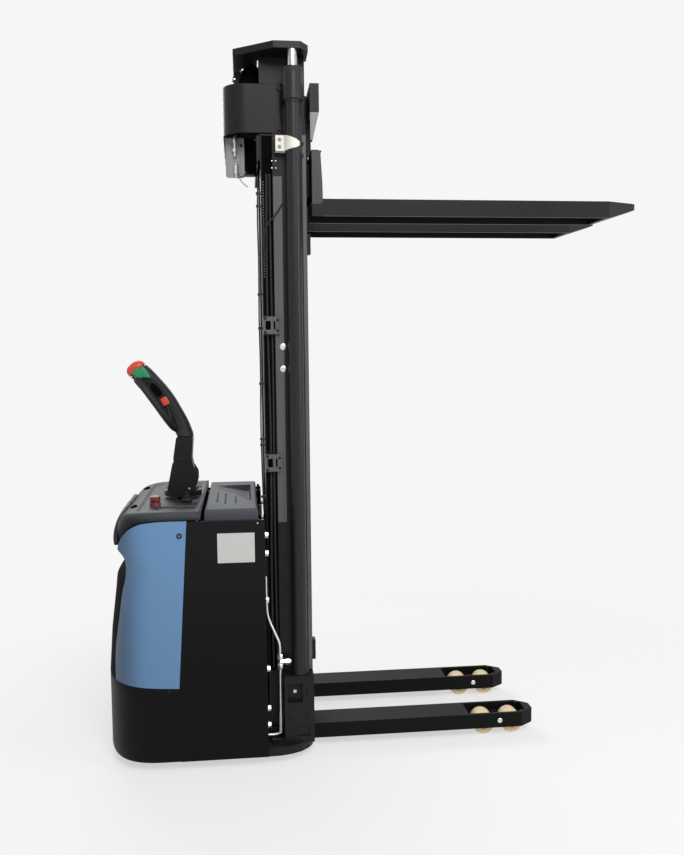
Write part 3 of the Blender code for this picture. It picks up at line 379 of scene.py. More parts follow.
@finish
def chrome_rod():
    """Hard-chromed rod: painted reflections as dark and light streaks along it, crossed by fine
    grinding rings.
    """
    p = Paint("chrome_rod", Metallic=1.0)
    where = p.place()
    rings = p.noise(p.stretch(where, (4, 4, 900)), 1.0, 2.0)
    # painted reflection: dark and light streaks round the rod, running along it
    streak = p.noise(p.stretch(where, (150, 150, 0.8)), 1.0, 2.0).ramp(0.38, 0.62)
    return p.done(Base_Color=p.mix(streak, (0.20, 0.205, 0.22), (0.56, 0.57, 0.59)),
                  Roughness=0.10 + rings * 0.12, Normal=p.bump(rings, 0.04, 0.0002))


@finish
def zinc():
    """Bright zinc plate, mottled and a little yellow in places."""
    p = Paint("zinc", Metallic=0.92)
    where = p.place()
    mottle = p.cells(where, 260.0)
    cloud = p.noise(where, 60.0, 3.0)
    plate = p.mix(cloud, (0.58, 0.58, 0.57), (0.82, 0.81, 0.78))
    return p.done(Base_Color=p.mix(mottle * 0.35, plate, (0.74, 0.72, 0.62)),
                  Roughness=0.24 + cloud * 0.18, Normal=p.bump(mottle, 0.08, 0.0003))


@finish
def cream():
    """Cream-white enamel on the cylinder clamps."""
    return two_tone("cream", (0.66, 0.63, 0.55), (0.80, 0.78, 0.71), (30.0, 4.0), (0.38, 0.2),
                    (500.0, 0.1, 0.0003), Specular_IOR_Level=0.4)


BRIGHT = {"stop_red": (0.17, 0.008, 0.010), "signal_orange": (0.62, 0.06, 0.03),
          "switch_green": (0.010, 0.20, 0.085)}


@finish
def bright_plastic(name):
    """Coloured moulded plastic with a faint sink pattern."""
    return two_tone(name, tone(BRIGHT[name], 0.86), tone(BRIGHT[name], 1.12), (55.0, 3.0),
                    (0.34, 0.16), (800.0, 0.12, 0.0003), Specular_IOR_Level=0.45)


@finish
def wheel_tread(x, z):
    """Polyurethane tyre on a steel hub: a mask of the distance from the axle."""
    amber = bpy.context.scene.stacker_colours.amber
    p = Paint("wheel_tread", Specular_IOR_Level=0.5)
    along, _, up = p.axes(p.place((x, 0, z)))
    radius = (along * along + up * up) ** 0.5
    hub = radius.ramp(0.0205, 0.0215, 1.0, 0.0)
    scuff = p.noise(p.place(), 90.0, 5.0)
    worn = radius.ramp(0.036, 0.040) * scuff.ramp(0.4, 0.7)
    tyre = p.mix(scuff, tone(amber, 0.85), tone(amber, 1.1))
    tyre = p.mix(worn * 0.5, tyre, (0.50, 0.42, 0.30))
    return p.done(Base_Color=p.mix(hub, tyre, (0.42, 0.41, 0.40)), Metallic=hub * 0.9,
                  Roughness=0.34 + scuff * 0.2, Normal=p.bump(scuff, 0.1, 0.0005))


@finish
def rubber():
    """Black rubber with moulding dust."""
    return two_tone("rubber", (0.012, 0.012, 0.012), (0.045, 0.043, 0.04), (80.0, 6.0, 0.7),
                    (0.6, 0.25), (None, 0.3, 0.0006), Specular_IOR_Level=0.2)


@finish
def oiled_steel():
    """Dark oiled chain steel."""
    return two_tone("oiled_steel", (0.10, 0.095, 0.085), (0.30, 0.29, 0.27), (120.0, 4.0),
                    (0.3, 0.25), (None, 0.1, 0.0004), Metallic=0.85)


@finish
def plate_silver():
    """Brushed aluminium plate, left bare."""
    return two_tone("plate_silver", (0.46, 0.46, 0.45), (0.56, 0.56, 0.54), (6.0, 4.0),
                    (0.36, 0.2), (None, 0.05, 0.0002), (2, 2, 240), Metallic=0.35)


# --- meshes from arrays -----------------------------------------------------------------

def grid(points, wrap_u=False, wrap_v=False, cap=False):
    """Quads over points[u, v]; cap closes the two ends of u with one face each."""
    rows, columns = points.shape[:2]
    index = np.arange(rows * columns).reshape(rows, columns)
    ends = [index[0].tolist(), index[-1][::-1].tolist()] if cap else []
    if wrap_u:
        index = np.vstack([index, index[:1]])
    if wrap_v:
        index = np.hstack([index, index[:, :1]])
    quads = np.stack([index[:-1, :-1], index[1:, :-1], index[1:, 1:], index[:-1, 1:]], -1)
    return points.reshape(-1, 3), quads.reshape(-1, 4).tolist() + ends


def join(parts):
    """Several (vertices, faces) as one."""
    total, vertices, faces = 0, [], []
    for points, some in parts:
        vertices.append(points)
        faces += [[i + total for i in face] for face in some]
        total += len(points)
    return np.vstack(vertices), faces


def put(name, shape, material, body, sharp=35.0, wall=0.0, edge=0.0, node=None):
    """Makes the mesh object, shades it smooth, finishes it, lets it ride on a body
    and, where a node is named, stand for that node."""
    vertices, faces = shape
    mesh = bpy.data.meshes.new(name)
    mesh.from_pydata(vertices.tolist(), [], faces)
    work = bmesh.new()
    work.from_mesh(mesh)
    bmesh.ops.remove_doubles(work, verts=work.verts, dist=2e-5)
    bmesh.ops.dissolve_degenerate(work, edges=work.edges, dist=1e-6)
    bmesh.ops.recalc_face_normals(work, faces=work.faces)
    work.to_mesh(mesh)
    work.free()
    mesh.shade_smooth()
    mesh.set_sharp_from_angle(angle=math.radians(sharp))
    mesh.materials.append(material)
    piece = bpy.data.objects.new(name, mesh)
    bpy.context.scene.collection.objects.link(piece)
    if wall:
        solid = piece.modifiers.new("wall", "SOLIDIFY")
        solid.thickness, solid.offset = wall, -1
    if edge:
        soften(piece, edge)
    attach(piece, body)
    if node:
        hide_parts(node)


def soften(piece, width, angle=32):
    """Bevels the edges sharper than an angle in degrees."""
    bevel = piece.modifiers.new("edge", "BEVEL")
    bevel.width, bevel.segments = width, 2
    bevel.limit_method, bevel.angle_limit = "ANGLE", math.radians(angle)
    bevel.harden_normals = bevel.use_clamp_overlap = True


def basis(axis):
    """An axis as a unit vector, and two unit vectors across it."""
    axis = np.asarray(axis, float) / np.linalg.norm(axis)
    guide = np.array([0, 0, 1.0]) if abs(axis[2]) < 0.9 else np.array([1.0, 0, 0])
    first = np.cross(guide, axis)
    first /= np.linalg.norm(first)
    return axis, first, np.cross(axis, first)


def turned(centre, axis, profile, sides=32):
    """Surface of revolution: radius r and height h of each profile point, in
    millimetres, carried round the axis: centre + h axis + r (cos a, sin a)."""
    axis, first, second = basis(axis)
    profile = np.asarray(profile, float) / 1000
    angle = np.linspace(0, 2 * np.pi, sides, endpoint=False)
    ring = np.cos(angle)[:, None] * first + np.sin(angle)[:, None] * second
    points = (np.asarray(centre) + profile[None, :, 1, None] * axis
              + profile[None, :, 0, None] * ring[:, None, :])
    return grid(points, wrap_u=True)


def smooth_path(knots, steps=8):
    """Catmull-Rom curve through 2-D or 3-D knots: each stretch is the cubic that
    leaves one knot along the line between its neighbours."""
    knots = np.asarray(knots, float)
    ends = np.vstack([2 * knots[0] - knots[1], knots, 2 * knots[-1] - knots[-2]])
    t = np.linspace(0, 1, steps, endpoint=False)[None, :, None]
    a, b, c, d = (ends[i:len(ends) - 3 + i, None, :] for i in range(4))
    curve = 0.5 * (2 * b + (c - a) * t + (2 * a - 5 * b + 4 * c - d) * t ** 2
                   + (3 * b - a - 3 * c + d) * t ** 3)
    return np.vstack([curve.reshape(-1, knots.shape[1]), knots[-1:]])


def closed_loop(points, steps):
    """Smooth closed outline through 2-D points, as one Catmull-Rom curve back to the first."""
    return smooth_path(np.array(tuple(points) + tuple(points[:1])), steps)[:-1]


def swept(path, radius, sides=12, guide=(0.03, 1, 0.02)):
    """Round tube: circle of the radius across the path's direction at each
    point. radius is a number or one number per point."""
    direction = np.gradient(path, axis=0)
    direction /= np.linalg.norm(direction, axis=1)[:, None]
    first = np.cross(direction, guide)
    first /= np.linalg.norm(first, axis=1)[:, None]
    second = np.cross(direction, first)
    angle = np.linspace(0, 2 * np.pi, sides, endpoint=False)
    radius = np.broadcast_to(np.asarray(radius, float), len(path))[:, None, None]
    points = path[:, None, :] + radius * (np.cos(angle)[None, :, None] * first[:, None, :]
                                          + np.sin(angle)[None, :, None] * second[:, None, :])
    return grid(points, wrap_v=True, cap=True)


def wire(points, radius, sides=10):
    """Round wire along a smooth curve through (x, y, z) knots in millimetres."""
    return swept(smooth_path(spot(*np.asarray(points, float).T)), radius / 1000, sides, (0.1, 1, 0.1))


def slab(low, high):
    """Plain plate between two corners in millimetres, as six quads."""
    x, y, z = (np.array([low[i], high[i]], float) for i in range(3))
    corners = np.array([(i, j, k) for i in (0, 1) for j in (0, 1) for k in (0, 1)])
    points = spot(x[corners[:, 0]], y[corners[:, 1]], z[corners[:, 2]])
    return points, [[0, 1, 3, 2], [4, 6, 7, 5], [0, 4, 5, 1], [2, 3, 7, 6], [0, 2, 6, 4],
                    [1, 5, 7, 3]]


def strip(side, x0, x1, z0, z1, y, thick=1.2):
    """Flat plate on one side, from a distance y off the middle outwards."""
    near, away = sorted((side * y, side * (y + thick)))
    return slab((x0, near, z0), (x1, away, z1))


def outline_plate(points, y0, y1):
    """Plate with an X-Z outline in millimetres, between two Y planes."""
    outline = np.asarray(points, float)
    both = np.stack([spot(outline[:, 0], y, outline[:, 1]) for y in (y0, y1)])
    return grid(both, wrap_v=True, cap=True)


def hex_bolt(centre, axis, radius=8.5, height=5.5):
    """Hexagon head with a chamfered top on a round washer."""
    head = turned(centre, axis, ((0, height), (radius * 0.82, height), (radius, height - 1.2),
                                 (radius, 1.4), (0, 1.4)), 6)
    rim = radius * 1.35
    return join([head, turned(centre, axis, ((0, 1.5), (rim, 1.5), (rim, 0), (0, 0)), 20)])


def cap_screw(centre, axis, radius=5.0, height=3.6):
    """Round head with a sunk socket."""
    return turned(centre, axis, ((0, height * 0.35), (radius * 0.42, height * 0.35),
                                 (radius * 0.5, height), (radius * 0.85, height),
                                 (radius, height * 0.72), (radius, 0), (0, 0)), 20)


def screws(spots, axis, radius, height, head=cap_screw):
    """One head at each (x, y, z) in millimetres."""
    return [head(spot(*place), axis, radius, height) for place in spots]


# --- frame finishes -------------------------------------------------------------------------

class StackerOperator(bpy.types.Operator):
    """Shared base of the stacker's operators"""
    bl_options = {"REGISTER", "UNDO"}


def wheel_axis(name):
    """X and Z of a wheel's axle in frame metres."""
    low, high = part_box(name)
    return round((low.x + high.x) / 2, 4), round((low.z + high.z) / 2, 4)


class STACKER_OT_frame_finishes(StackerOperator):
    """Finish and soften the plates, tubes and castings of the frame"""
    bl_idname = "stacker.frame_finishes"
    bl_label = "Frame finishes"

    def execute(self, context):
        edge = context.scene.stacker_sizes.edge
        finishes = {
            "chrome_rod": chrome_rod(), "zinc_steel": zinc(), "cream_paint": cream(),
            "cylinder_paint": gloss_black(), "black_plastic": grained_black(),
            "grey_plastic": moulded_grey(), "blue_paint": cover_blue(),
            "battery_plastic": grained_black(), "rubber_black": rubber(),
            "chain_steel": oiled_steel(), "black_paint": satin_black(),
            "red_plastic": bright_plastic("stop_red"),
            "orange_plastic": bright_plastic("signal_orange"),
            "green_plastic": bright_plastic("switch_green"),
        }
        slots = {s["node"]: s["material_slot"] for s in frame["record"]["subparts"]}
        flat = ("side_panel_R", "side_panel_L", "leg_R", "leg_L", "rear_panel", "skirt")
        for name, node in frame["nodes"].items():
            material = finishes.get(slots[name]) or wheel_tread(*wheel_axis(name))
            node.data.materials.clear()
            node.data.materials.append(panel_black() if name in flat else material)
            weld = node.modifiers.new("weld", "WELD")
            weld.merge_threshold = 1e-5
            merge = node.modifiers.new("merge", "DECIMATE")
            merge.decimate_type, merge.angle_limit = "DISSOLVE", math.radians(0.6)
            low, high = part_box(name)
            wide = 4.0 if name.startswith("cylinder_clamp") else 1.0
            soften(node, min(edge * wide, min(high - low) * 0.12), 40)
        return {"FINISHED"}


# --- mast -------------------------------------------------------------------------------------

CHANNEL_FACE = 280.0                          # outer face of the outer channel
CLAMPS = ((1502, 1562), (1022, 1083))         # lower and upper edge of each hose clamp
CAP_SCREW, HEX_HEAD = 3.6, 5.5                # usual height of each kind of head
DOMED_BOLT = ((0, 3.5), (4, 3.5), (4.5, 5), (8, 5), (11.5, 3), (12, 0), (0, 0))


class STACKER_OT_mast_fittings(StackerOperator):
    """Bolts, set screws and wear-pad details of the outer mast"""
    bl_idname = "stacker.mast_fittings"
    bl_label = "Mast fittings"

    def execute(self, context):
        dark, bright = [], []
        for side in SIDES:
            out, face = (0, side, 0), side * CHANNEL_FACE
            bright += [turned(spot(-89, face, z), out, DOMED_BOLT, 24) for z in (1458, 1381)]
            dark += screws([(x, face + side * 12, foot + z) for foot, _ in CLAMPS for x, z in
                            ((-107, 12), (-107, 48), (-150, 6), (-150, 54))], out, 4.5, CAP_SCREW)
            bright += screws([(x, face, z) for x in (-118, -105) for z in (2092, 2068)],
                             out, 2.6, 3)
            dark += screws([(12, side * 258, z) for z in (1793, 1831, 352, 392)], FORWARDS, 7, 1.3)
            dark += screws([(-40, face, 2085), (-18, face, 2110), (-18, face, 2150)],
                           out, 7.5, HEX_HEAD, hex_bolt)
        put("mast_screws_dark", join(dark), satin_black(), "chassis")
        put("mast_screws_bright", join(bright), zinc(), "chassis")
        return {"FINISHED"}


class STACKER_OT_mast_faces(StackerOperator):
    """Painted highlight strips on the faces, painted shade in the recess with its hoses and chain, and
    the hose clamps' faces
    """
    bl_idname = "stacker.mast_faces"
    bl_label = "Mast faces"

    def execute(self, context):
        strips, shaded, recesses, hoses, links = [], [], [], [], []
        for side in SIDES:
            # painted highlight: lighter strips on the channel's faces
            strips += [strip(side, -115, -85, 840, 2040, CHANNEL_FACE),
                       strip(side, -14, -1, 302, 2180, CHANNEL_FACE)]
            shaded.append(strip(side, -116, -83, 706, 838, CHANNEL_FACE))
            # painted shade: near-black sheets in the recesses
            recesses += [strip(side, -153, -118, z0, z1, 267, 0.6)
                         for z0, z1 in ((300, 1016), (1090, 1496), (1568, 2180))]
            # painted highlight on each clamp's face, round a painted shade sheet in its middle
            for z0, z1 in CLAMPS:
                low, high = (z0 + z1) / 2 - 15, (z0 + z1) / 2 + 15
                strips += [strip(side, *place, 292, 0.8) for place in
                           ((-157, -100, high, z1), (-157, -100, z0, low), (-157, -149, low, high),
                            (-131, -121, low, high), (-115, -100, low, high))]
                recesses.append(strip(side, -149, -115, low, high, 284.2, 0.4))
            # each hose sways a little about its line, as a sine of the height
            height = np.linspace(310, 2050, 16)
            for x, sway, phase in ((-126, 1.2, 0.0), (-139, 2.6, 1.3)):
                run = x + sway * np.sin(height / 170 + phase)
                hoses.append(wire(np.column_stack([run, 0 * height + side * 272, height]), 3.6))
            links += [turned(spot(-149, side * 268, z), (0, side, 0),
                             ((0, 2), (2.4, 2), (2.8, 0), (0, 0)), 8)
                      for z in np.arange(1700, 2030, 9.5)]
        hoses.append(wire([(-84, -283, 1948), (-96, -285, 1928), (-112, -286, 1905),
                           (-134, -280, 1880), (-148, -275, 1846), (-150, -272, 1790)], 3.0))
        put("mast_highlights", join(strips), painted_highlight_grey(), "chassis")
        put("mast_joint_plates", join(shaded), satin_black(), "chassis", edge=0.001)
        put("mast_recess_shades", join(recesses), deep_black_and_painted_shade(), "chassis")
        put("mast_hoses", join(hoses), rubber(), "chassis")
        put("hose_chain", join(links), painted_highlight_grey(), "chassis")
        return {"FINISHED"}


class STACKER_OT_cylinders(StackerOperator):
    """Turned lift cylinders and rods, with their wiper rings and clamp screws"""
    bl_idname = "stacker.cylinders"
    bl_label = "Lift cylinders"

    def execute(self, context):
        seals, heads = [], []
        for side, tag in SIDE_TAGS:
            low, high = around("lift_cylinder_" + tag)
            middle = spot(*middle_of("lift_cylinder_" + tag)[:2], 0)
            collar, top, foot = (high[0] - low[0]) / 2, high[2], low[2]
            tube = collar - 8
            profile = ((0, foot), (tube + 1.5, foot), (tube + 3, foot + 2), (tube + 3, foot + 16),
                       (tube, foot + 18), (tube, top - 118), (tube + 3, top - 115),
                       (tube + 3, top - 109), (collar - 2, top - 109), (collar, top - 107),
                       (collar, top - 2), (collar - 2, top), (17.6, top), (17.6, top - 12),
                       (0, top - 12))
            put("cylinder_barrel_" + tag, turned(middle, UP, profile, 64), gloss_black(),
                "chassis", node="lift_cylinder_" + tag)
            seals.append(turned(middle, UP, ((17.8, top + 1), (26, top + 1), (collar - 1, top - 1),
                                             (collar + 0.3, top - 8), (collar + 0.3, top - 18)), 48))
            low, high = around("cylinder_rod_" + tag)
            profile = ((0, low[2]), (17, low[2]), (17, high[2]), (0, high[2]))
            put("chrome_rod_" + tag, turned(middle, UP, profile, 64), chrome_rod(), "middle_mast",
                node="cylinder_rod_" + tag)
            low, high = around("cylinder_clamp_" + tag)
            heads += screws([(low[0] + 14, side * 315.5, z) for z in (low[2] + 14, high[2] - 14)],
                            (0, side, 0), 6.5, 1.6)
        put("cylinder_wipers", join(seals), rubber(), "chassis")
        put("clamp_screws", join(heads), oiled_steel(), "chassis")
        return {"FINISHED"}


PULLEY_X, PULLEY_Z = -204, 2402               # axle of the hose pulleys
PULLEY = ((8, -6), (36, -6), (38, -4), (33, 0), (38, 4), (36, 6), (8, 6), (8, -6))
BRACKET_REAR = -276                           # rear edge of the hose bracket
GUARD_BEND = 80                               # radius of the guard cover's rear corners


def arc(x, z, radius, angle):
    """Points on a circle: (x + r cos a, z + r sin a)."""
    return np.column_stack([x + radius * np.cos(angle), z + radius * np.sin(angle)])


def guard_wall():
    """Guard cover: a U in plan, straight sides joined by quarter circles at the rear
    corners, carried up through four heights."""
    low, high = around("guard_cover")
    lip = high[0] + 16
    corner = np.pi / 2 * np.linspace(0, 1, 24)
    bend_x = low[0] + GUARD_BEND * (1 - np.sin(corner))
    bend_y = low[1] + GUARD_BEND * (1 - np.cos(corner))
    x = np.concatenate([[lip, lip - 30], bend_x, bend_x[::-1], [lip - 30, lip]])
    y = np.concatenate([[low[1]] * 2, bend_y, -bend_y[::-1], [high[1]] * 2])
    return grid(np.stack([spot(x, y, z) for z in (low[2], low[2] + 2, high[2] - 2, high[2])], 1))


def hose_end(x, z0, z1):
    """Hexagonal hose fitting from z0 to z1 with two nuts."""
    return turned(spot(x, -184, 0), UP,
                  ((0, z0), (5, z0), (6, z0 + 3), (6, z0 + 14), (10, z0 + 16), (10, z0 + 28),
                   (6, z0 + 30), (6, z1 - 26), (9, z1 - 24), (9, z1 - 10), (5, z1 - 8), (5, z1),
                   (0, z1)), 6)


class STACKER_OT_top_fittings(StackerOperator):
    """Guard cover, hose bracket, hose pulleys and the top plate's plugs"""
    bl_idname = "stacker.top_fittings"
    bl_label = "Top fittings"

    def execute(self, context):
        put("guard_shell", guard_wall(), satin_black(), "middle_mast", 40, wall=0.003,
            node="guard_cover")
        put("guard_tabs", join([strip(side, -98, -82, 2318, 2346, 232, 24) for side in SIDES]),
            satin_black(), "middle_mast", edge=0.001)

        dark, bright, pulleys = [], [], []
        top = around("top_plate")[1][2]
        turn = np.linspace(0.05 * np.pi, 1.02 * np.pi, 26)
        arch = np.vstack([arc(PULLEY_X, PULLEY_Z, 44, turn),
                          arc(PULLEY_X, PULLEY_Z - 22, 12, turn[::-1])])
        for side in SIDES:
            out = (0, side, 0)
            dark += screws([(-91, side * 260, z) for z in (2340, 2205)], out, 7.5, HEX_HEAD, hex_bolt)
            dark += screws([(x, side * 176, 2165) for x in (-245, -222)], out, 4.5, CAP_SCREW)
            bright.append(hex_bolt(spot(-30, side * 300, top), UP, 9, 0.0))
            pulleys += [turned(spot(PULLEY_X, side * y, PULLEY_Z), ACROSS, PULLEY, 48)
                        for y in (108, 92)]
            dark.append(outline_plate(arch, side * 118, side * 121))
            pins = arc(PULLEY_X, PULLEY_Z, 37, np.pi * np.array([0.3, 0.62, 0.94]))
            bright += screws([(x, side * 121, z) for x, z in pins], out, 4.0, 3.0)
        bright += [hose_end(-242, 2125, 2199), hose_end(-238, 2050, 2104)]
        bright += [turned(spot(BRACKET_REAR, y, 2150), (-1, 0, 0),
                          ((0, 6), (7, 6), (8, 5), (8, 0), (0, 0)), 6) for y in (-150, -50, 50, 150)]
        low, high = around("hose_bracket")
        face = [(low[0] + 0.5, high[2] - 6), (low[0] + 4, 2150), (BRACKET_REAR, 2058), (-268, 2053),
                (-214, 2053), (-211, 2058), (-211, high[2] - 6)]
        # painted highlight: the bracket's face in a lighter copy of the highlight grey
        put("bracket_face_highlight", outline_plate(face, low[1] + 0.8, low[1] + 1.9), painted_highlight_grey(2.6),
            "middle_mast")
        # painted shade: near-black sheet in the bracket's window
        put("bracket_window_shade", slab((-209, -157, 2062), (-168, -155, 2188)), deep_black_and_painted_shade(),
            "middle_mast")
        lever = wire([(-222, -170, 2386), (-208, -176, 2420), (-188, -178, 2440),
                      (-168, -176, 2438), (-148, -172, 2414), (-134, -170, 2384)], 4.0)
        guard = outline_plate([(-232, 2356), (-225, 2385), (-210, 2416), (-194, 2438), (-170, 2438),
                               (-152, 2418), (-137, 2388), (-128, 2356)], -168, -164)
        put("sheave_guard", join([lever, guard]), deep_black_and_painted_shade(), "middle_mast", edge=0.001)
        pins = [cap_screw(spot(x, -178, z), -ACROSS, radius, 4) for x, z, radius in
                ((-212, 2424, 3.4), (-137, 2392, 4.0), (-181, 2362, 8.0))]
        put("sheave_pins", join(pins), zinc(), "middle_mast")
        put("cover_bolts", join(dark), satin_black(), "middle_mast")
        put("hose_fittings", join(bright), zinc(), "middle_mast")
        put("hose_pulleys", join(pulleys), grained_black(), "middle_mast")
        shaft = ((0, -119), (8, -119), (8, 119), (0, 119))
        put("pulley_shaft", turned(spot(PULLEY_X, 0, PULLEY_Z), ACROSS, shaft, 24), oiled_steel(),
            "middle_mast")
        hook = [(-206, -178, 2075), (-214, -180, 2062), (-228, -180, 2060), (-226, -180, 2046),
                (-212, -180, 2030), (-200, -180, 2022)]
        put("wire_hook", wire(hook, 2.0, 8), oiled_steel(), "middle_mast")
        return {"FINISHED"}


def leaf_chain(x, z0, z1, pitch=19.05, rows=5):
    """Leaf chain: rows of waisted plates, each an ellipse drawn in at its middle, one
    at each pitch, with every second row half a pitch higher."""
    angle = np.linspace(0, 2 * np.pi, 14, endpoint=False)
    waist = 0.62 + 0.38 * np.abs(np.sin(angle))
    plate_x = (4.6 * np.cos(angle) * np.where(np.abs(np.cos(angle)) > 0.5, 0.86, 1)
               * (0.75 + 0.25 * waist))
    plate_z = (pitch * 0.5 + 4.4) * np.sin(angle)
    plates = []
    for row in range(rows):
        y = (row - (rows - 1) / 2) * 3.1
        for i in range(int((z1 - z0) // pitch)):
            z = z0 + pitch * (i + 0.5 + 0.5 * (row % 2))
            if z + pitch * 0.5 + 5 <= z1:
                plates.append(outline_plate(np.column_stack([x + plate_x, z + plate_z]),
                                            y - 1.2, y + 1.2))
    return join(plates)


def mirrored(side):
    """A wheel's half profile, (radius, width) from hub to tread, closed by its mirror image."""
    return [*side, (side[-1][0], 0), *((r, -h) for r, h in side[::-1]), side[0]]


class STACKER_OT_chains(StackerOperator):
    """Leaf chains in place of the plain chain runs, and the chain wheel's rim"""
    bl_idname = "stacker.chains"
    bl_label = "Lift chains"

    def execute(self, context):
        for node, body in (("lift_chain_rear", "inner_mast"), ("lift_chain_front", "carriage")):
            low, high = around(node)
            put(node + "_links", leaf_chain(middle_of(node)[0], low[2], high[2]), oiled_steel(),
                body, node=node)
        x, _, z = middle_of("chain_wheel")
        rim = ((12, -21.5), (20, -21), (20, -12), (43, -12), (45, -11), (45, -9), (39, -8), (39, 8),
               (45, 9), (45, 11), (43, 12), (20, 12), (20, 21), (12, 21.5), (12, -21.5))
        put("chain_wheel_rim", turned(spot(x, 0, z), ACROSS, rim, 64), oiled_steel(), "sheave",
            node="chain_wheel")
        return {"FINISHED"}


class STACKER_OT_cables(StackerOperator):
    """Mast cable with its ties, in place of the plain bar"""
    bl_idname = "stacker.cables"
    bl_label = "Mast cable"

    def execute(self, context):
        low, high = around("mast_cable")
        x, y, _ = middle_of("mast_cable")
        x -= 8
        height = np.array([high[2] - 4, 1900, 1740, 1560, 1380, 1200, 1040, low[2] + 4])
        drift = np.array([3.0, -0.6, 1.0, -0.8, 0.8, -1.0, 0.6, 4.0])
        run = swept(smooth_path(spot(x + drift, y + drift, height)), 0.0024, 12, (1, 0, 0.02))
        put("mast_cable_run", run, rubber(), "chassis", node="mast_cable")
        ties = [slab((x - 5, y - 5, z - 4), (x + 12, y + 5, z + 4)) for z in
                (1985, 1942, 1640, 1523, 1330, 1135, 1115, 930)]
        put("cable_ties", join(ties), grained_black(), "chassis")
        return {"FINISHED"}


PIPE_X, PIPE_TOP_X = -118, -163               # lower and upper upright stretch of each pipe
PIPE_RUN = ((-164, 655), (-163, 570), (-158, 510), (-136, 452), (-121, 415), (-118, 380),
            (-118, 250), (-118, 104), (-122, 86), (-140, 80), (-166, 80))
PIPE_TEE = ((0, -119), (9.5, -119), (11, -117.5), (11, -104), (8, -104), (8, -98), (12, -98),
            (12, -84), (8, -84), (8, -80), (0, -80))


class STACKER_OT_pipework(StackerOperator):
    """Bright steel pipes with their nuts, and the tie bolts behind the mast foot"""
    bl_idname = "stacker.pipework"
    bl_label = "Pipework"

    def execute(self, context):
        for side, tag in SIDE_TAGS:
            y = side * 312.0
            x, z = np.array(PIPE_RUN).T
            parts = [swept(smooth_path(spot(x, y, z)), 0.0055, 14)]
            for x, z0, z1 in ((PIPE_X, 350, 372), (PIPE_X, 318, 340), (PIPE_TOP_X, 560, 580)):
                nut = ((5, z0), (9, z0), (10.2, z0 + 1.5), (10.2, z1 - 1.5), (9, z1), (5, z1))
                parts.append(turned(spot(x, y, 0), UP, nut, 6))
            parts.append(turned(spot(0, y, 345), FORWARDS, PIPE_TEE, 6))
            put("steel_pipe_" + tag, join(parts), zinc(), "chassis", node="hydraulic_pipe_" + tag)
        nuts = screws([(-164.9, side * 352, z) for side in SIDES for z in (810, 746, 337, 195, 135)],
                      FORWARDS, 10.5, 12, hex_bolt)
        put("panel_nuts", join(nuts), zinc(), "chassis")
        return {"FINISHED"}


# --- chassis and forks ------------------------------------------------------------------------

FORK_Y = 195                                  # middle of each fork and leg
FOOT_FACE = 340                               # outer face of the mast foot
SHANK_FACE = 285.2                            # just proud of the fork shank
SHANK = ((19, 2128), (42, 2128), (48, 2121), (54, 2018), (56, 1960), (50, 1948), (19, 1948))
GUSSET = ((15, 2256), (45, 2256), (23, 2163), (15, 2163))


class STACKER_OT_chassis_fittings(StackerOperator):
    """Bolts of the mast foot and legs, weld beads, painted highlights on the forks' faces and painted
    reflection on the gussets
    """
    bl_idname = "stacker.chassis_fittings"
    bl_label = "Chassis fittings"

    def execute(self, context):
        dark, bright, beads, faces, rims = [], [], [], [], []
        for side in SIDES:
            out = (0, side, 0)
            bright.append(hex_bolt(spot(-67, side * 318, 237), out, 4.5, 5))
            bright += screws([(x, side * 334, 66) for x in (-95, -37)], out, 5.0, CAP_SCREW)
            dark.append(hex_bolt(spot(-20, side * FOOT_FACE, 240), out, 8))
            dark += screws([(x, side * FOOT_FACE, 150) for x in (-85, -25)], out, 6, CAP_SCREW)
            bright += [cap_screw(spot(700.5, side * FORK_Y + s * 60, 60), (0, s, 0), 9, 3.5)
                       for s in SIDES]
            dark += [cap_screw(spot(-120, side * 345, 60), UP, 8),
                     hex_bolt(spot(-40, side * 300, 299), UP, 8)]
            # the weld's height ripples as a sine along it
            y = np.linspace(side * FORK_Y - 84, side * FORK_Y + 84, 60)
            beads.append(swept(spot(50, y, 2128 + 0.5 * np.sin(y * 1.4)), 0.003, 8, UP))
            # painted reflection: the gusset's face lightened by the bright floor
            faces.append(outline_plate(GUSSET, side * SHANK_FACE, side * (SHANK_FACE + 0.7)))
            # painted highlight: lit lower edges of the fork flanges and the shank's face
            rims += [strip(side, 60, 1085, 1907.5, 1908.2, y, 7) for y in (FORK_Y - 90, FORK_Y + 83)]
            rims.append(outline_plate(SHANK, side * SHANK_FACE, side * (SHANK_FACE + 0.6)))
        put("foot_bolts_dark", join(dark), satin_black(), "chassis")
        put("foot_bolts_bright", join(bright), zinc(), "chassis")
        put("weld_beads", join(beads), satin_black(), "carriage")
        put("gusset_reflections", join(faces), painted_highlight_grey(2.4), "carriage")
        put("fork_highlights", join(rims), painted_highlight_grey(0.45), "carriage")
        return {"FINISHED"}


LOAD_WHEEL = ((8, 35.4), (13, 35.2), (13.5, 32), (19, 31), (20.5, 29), (22, 32.5), (30, 34),
              (37.5, 34), (39.5, 32.5), (40, 30))
DRIVE_WHEEL = ((30, 37), (36, 40), (40, 37), (78, 34), (82, 36.5), (106, 37.5), (113, 34),
               (115, 29))


class STACKER_OT_wheels(StackerOperator):
    """Turned load wheels with tyre, hub and bearing, and the drive wheel"""
    bl_idname = "stacker.wheels"
    bl_label = "Wheels"

    def execute(self, context):
        for name in sorted(n for n in frame["nodes"] if n.startswith("load_wheel")):
            wheel = turned(spot(*middle_of(name)), ACROSS, mirrored(LOAD_WHEEL), 72)
            put(name + "_turned", wheel, wheel_tread(*wheel_axis(name)), name, node=name)
        x, _, z = middle_of("drive_wheel")
        wheel = turned(spot(x, 0, z), ACROSS, mirrored(DRIVE_WHEEL), 96)
        put("drive_wheel_turned", wheel, rubber(), "drive_wheel", node="drive_wheel")
        return {"FINISHED"}


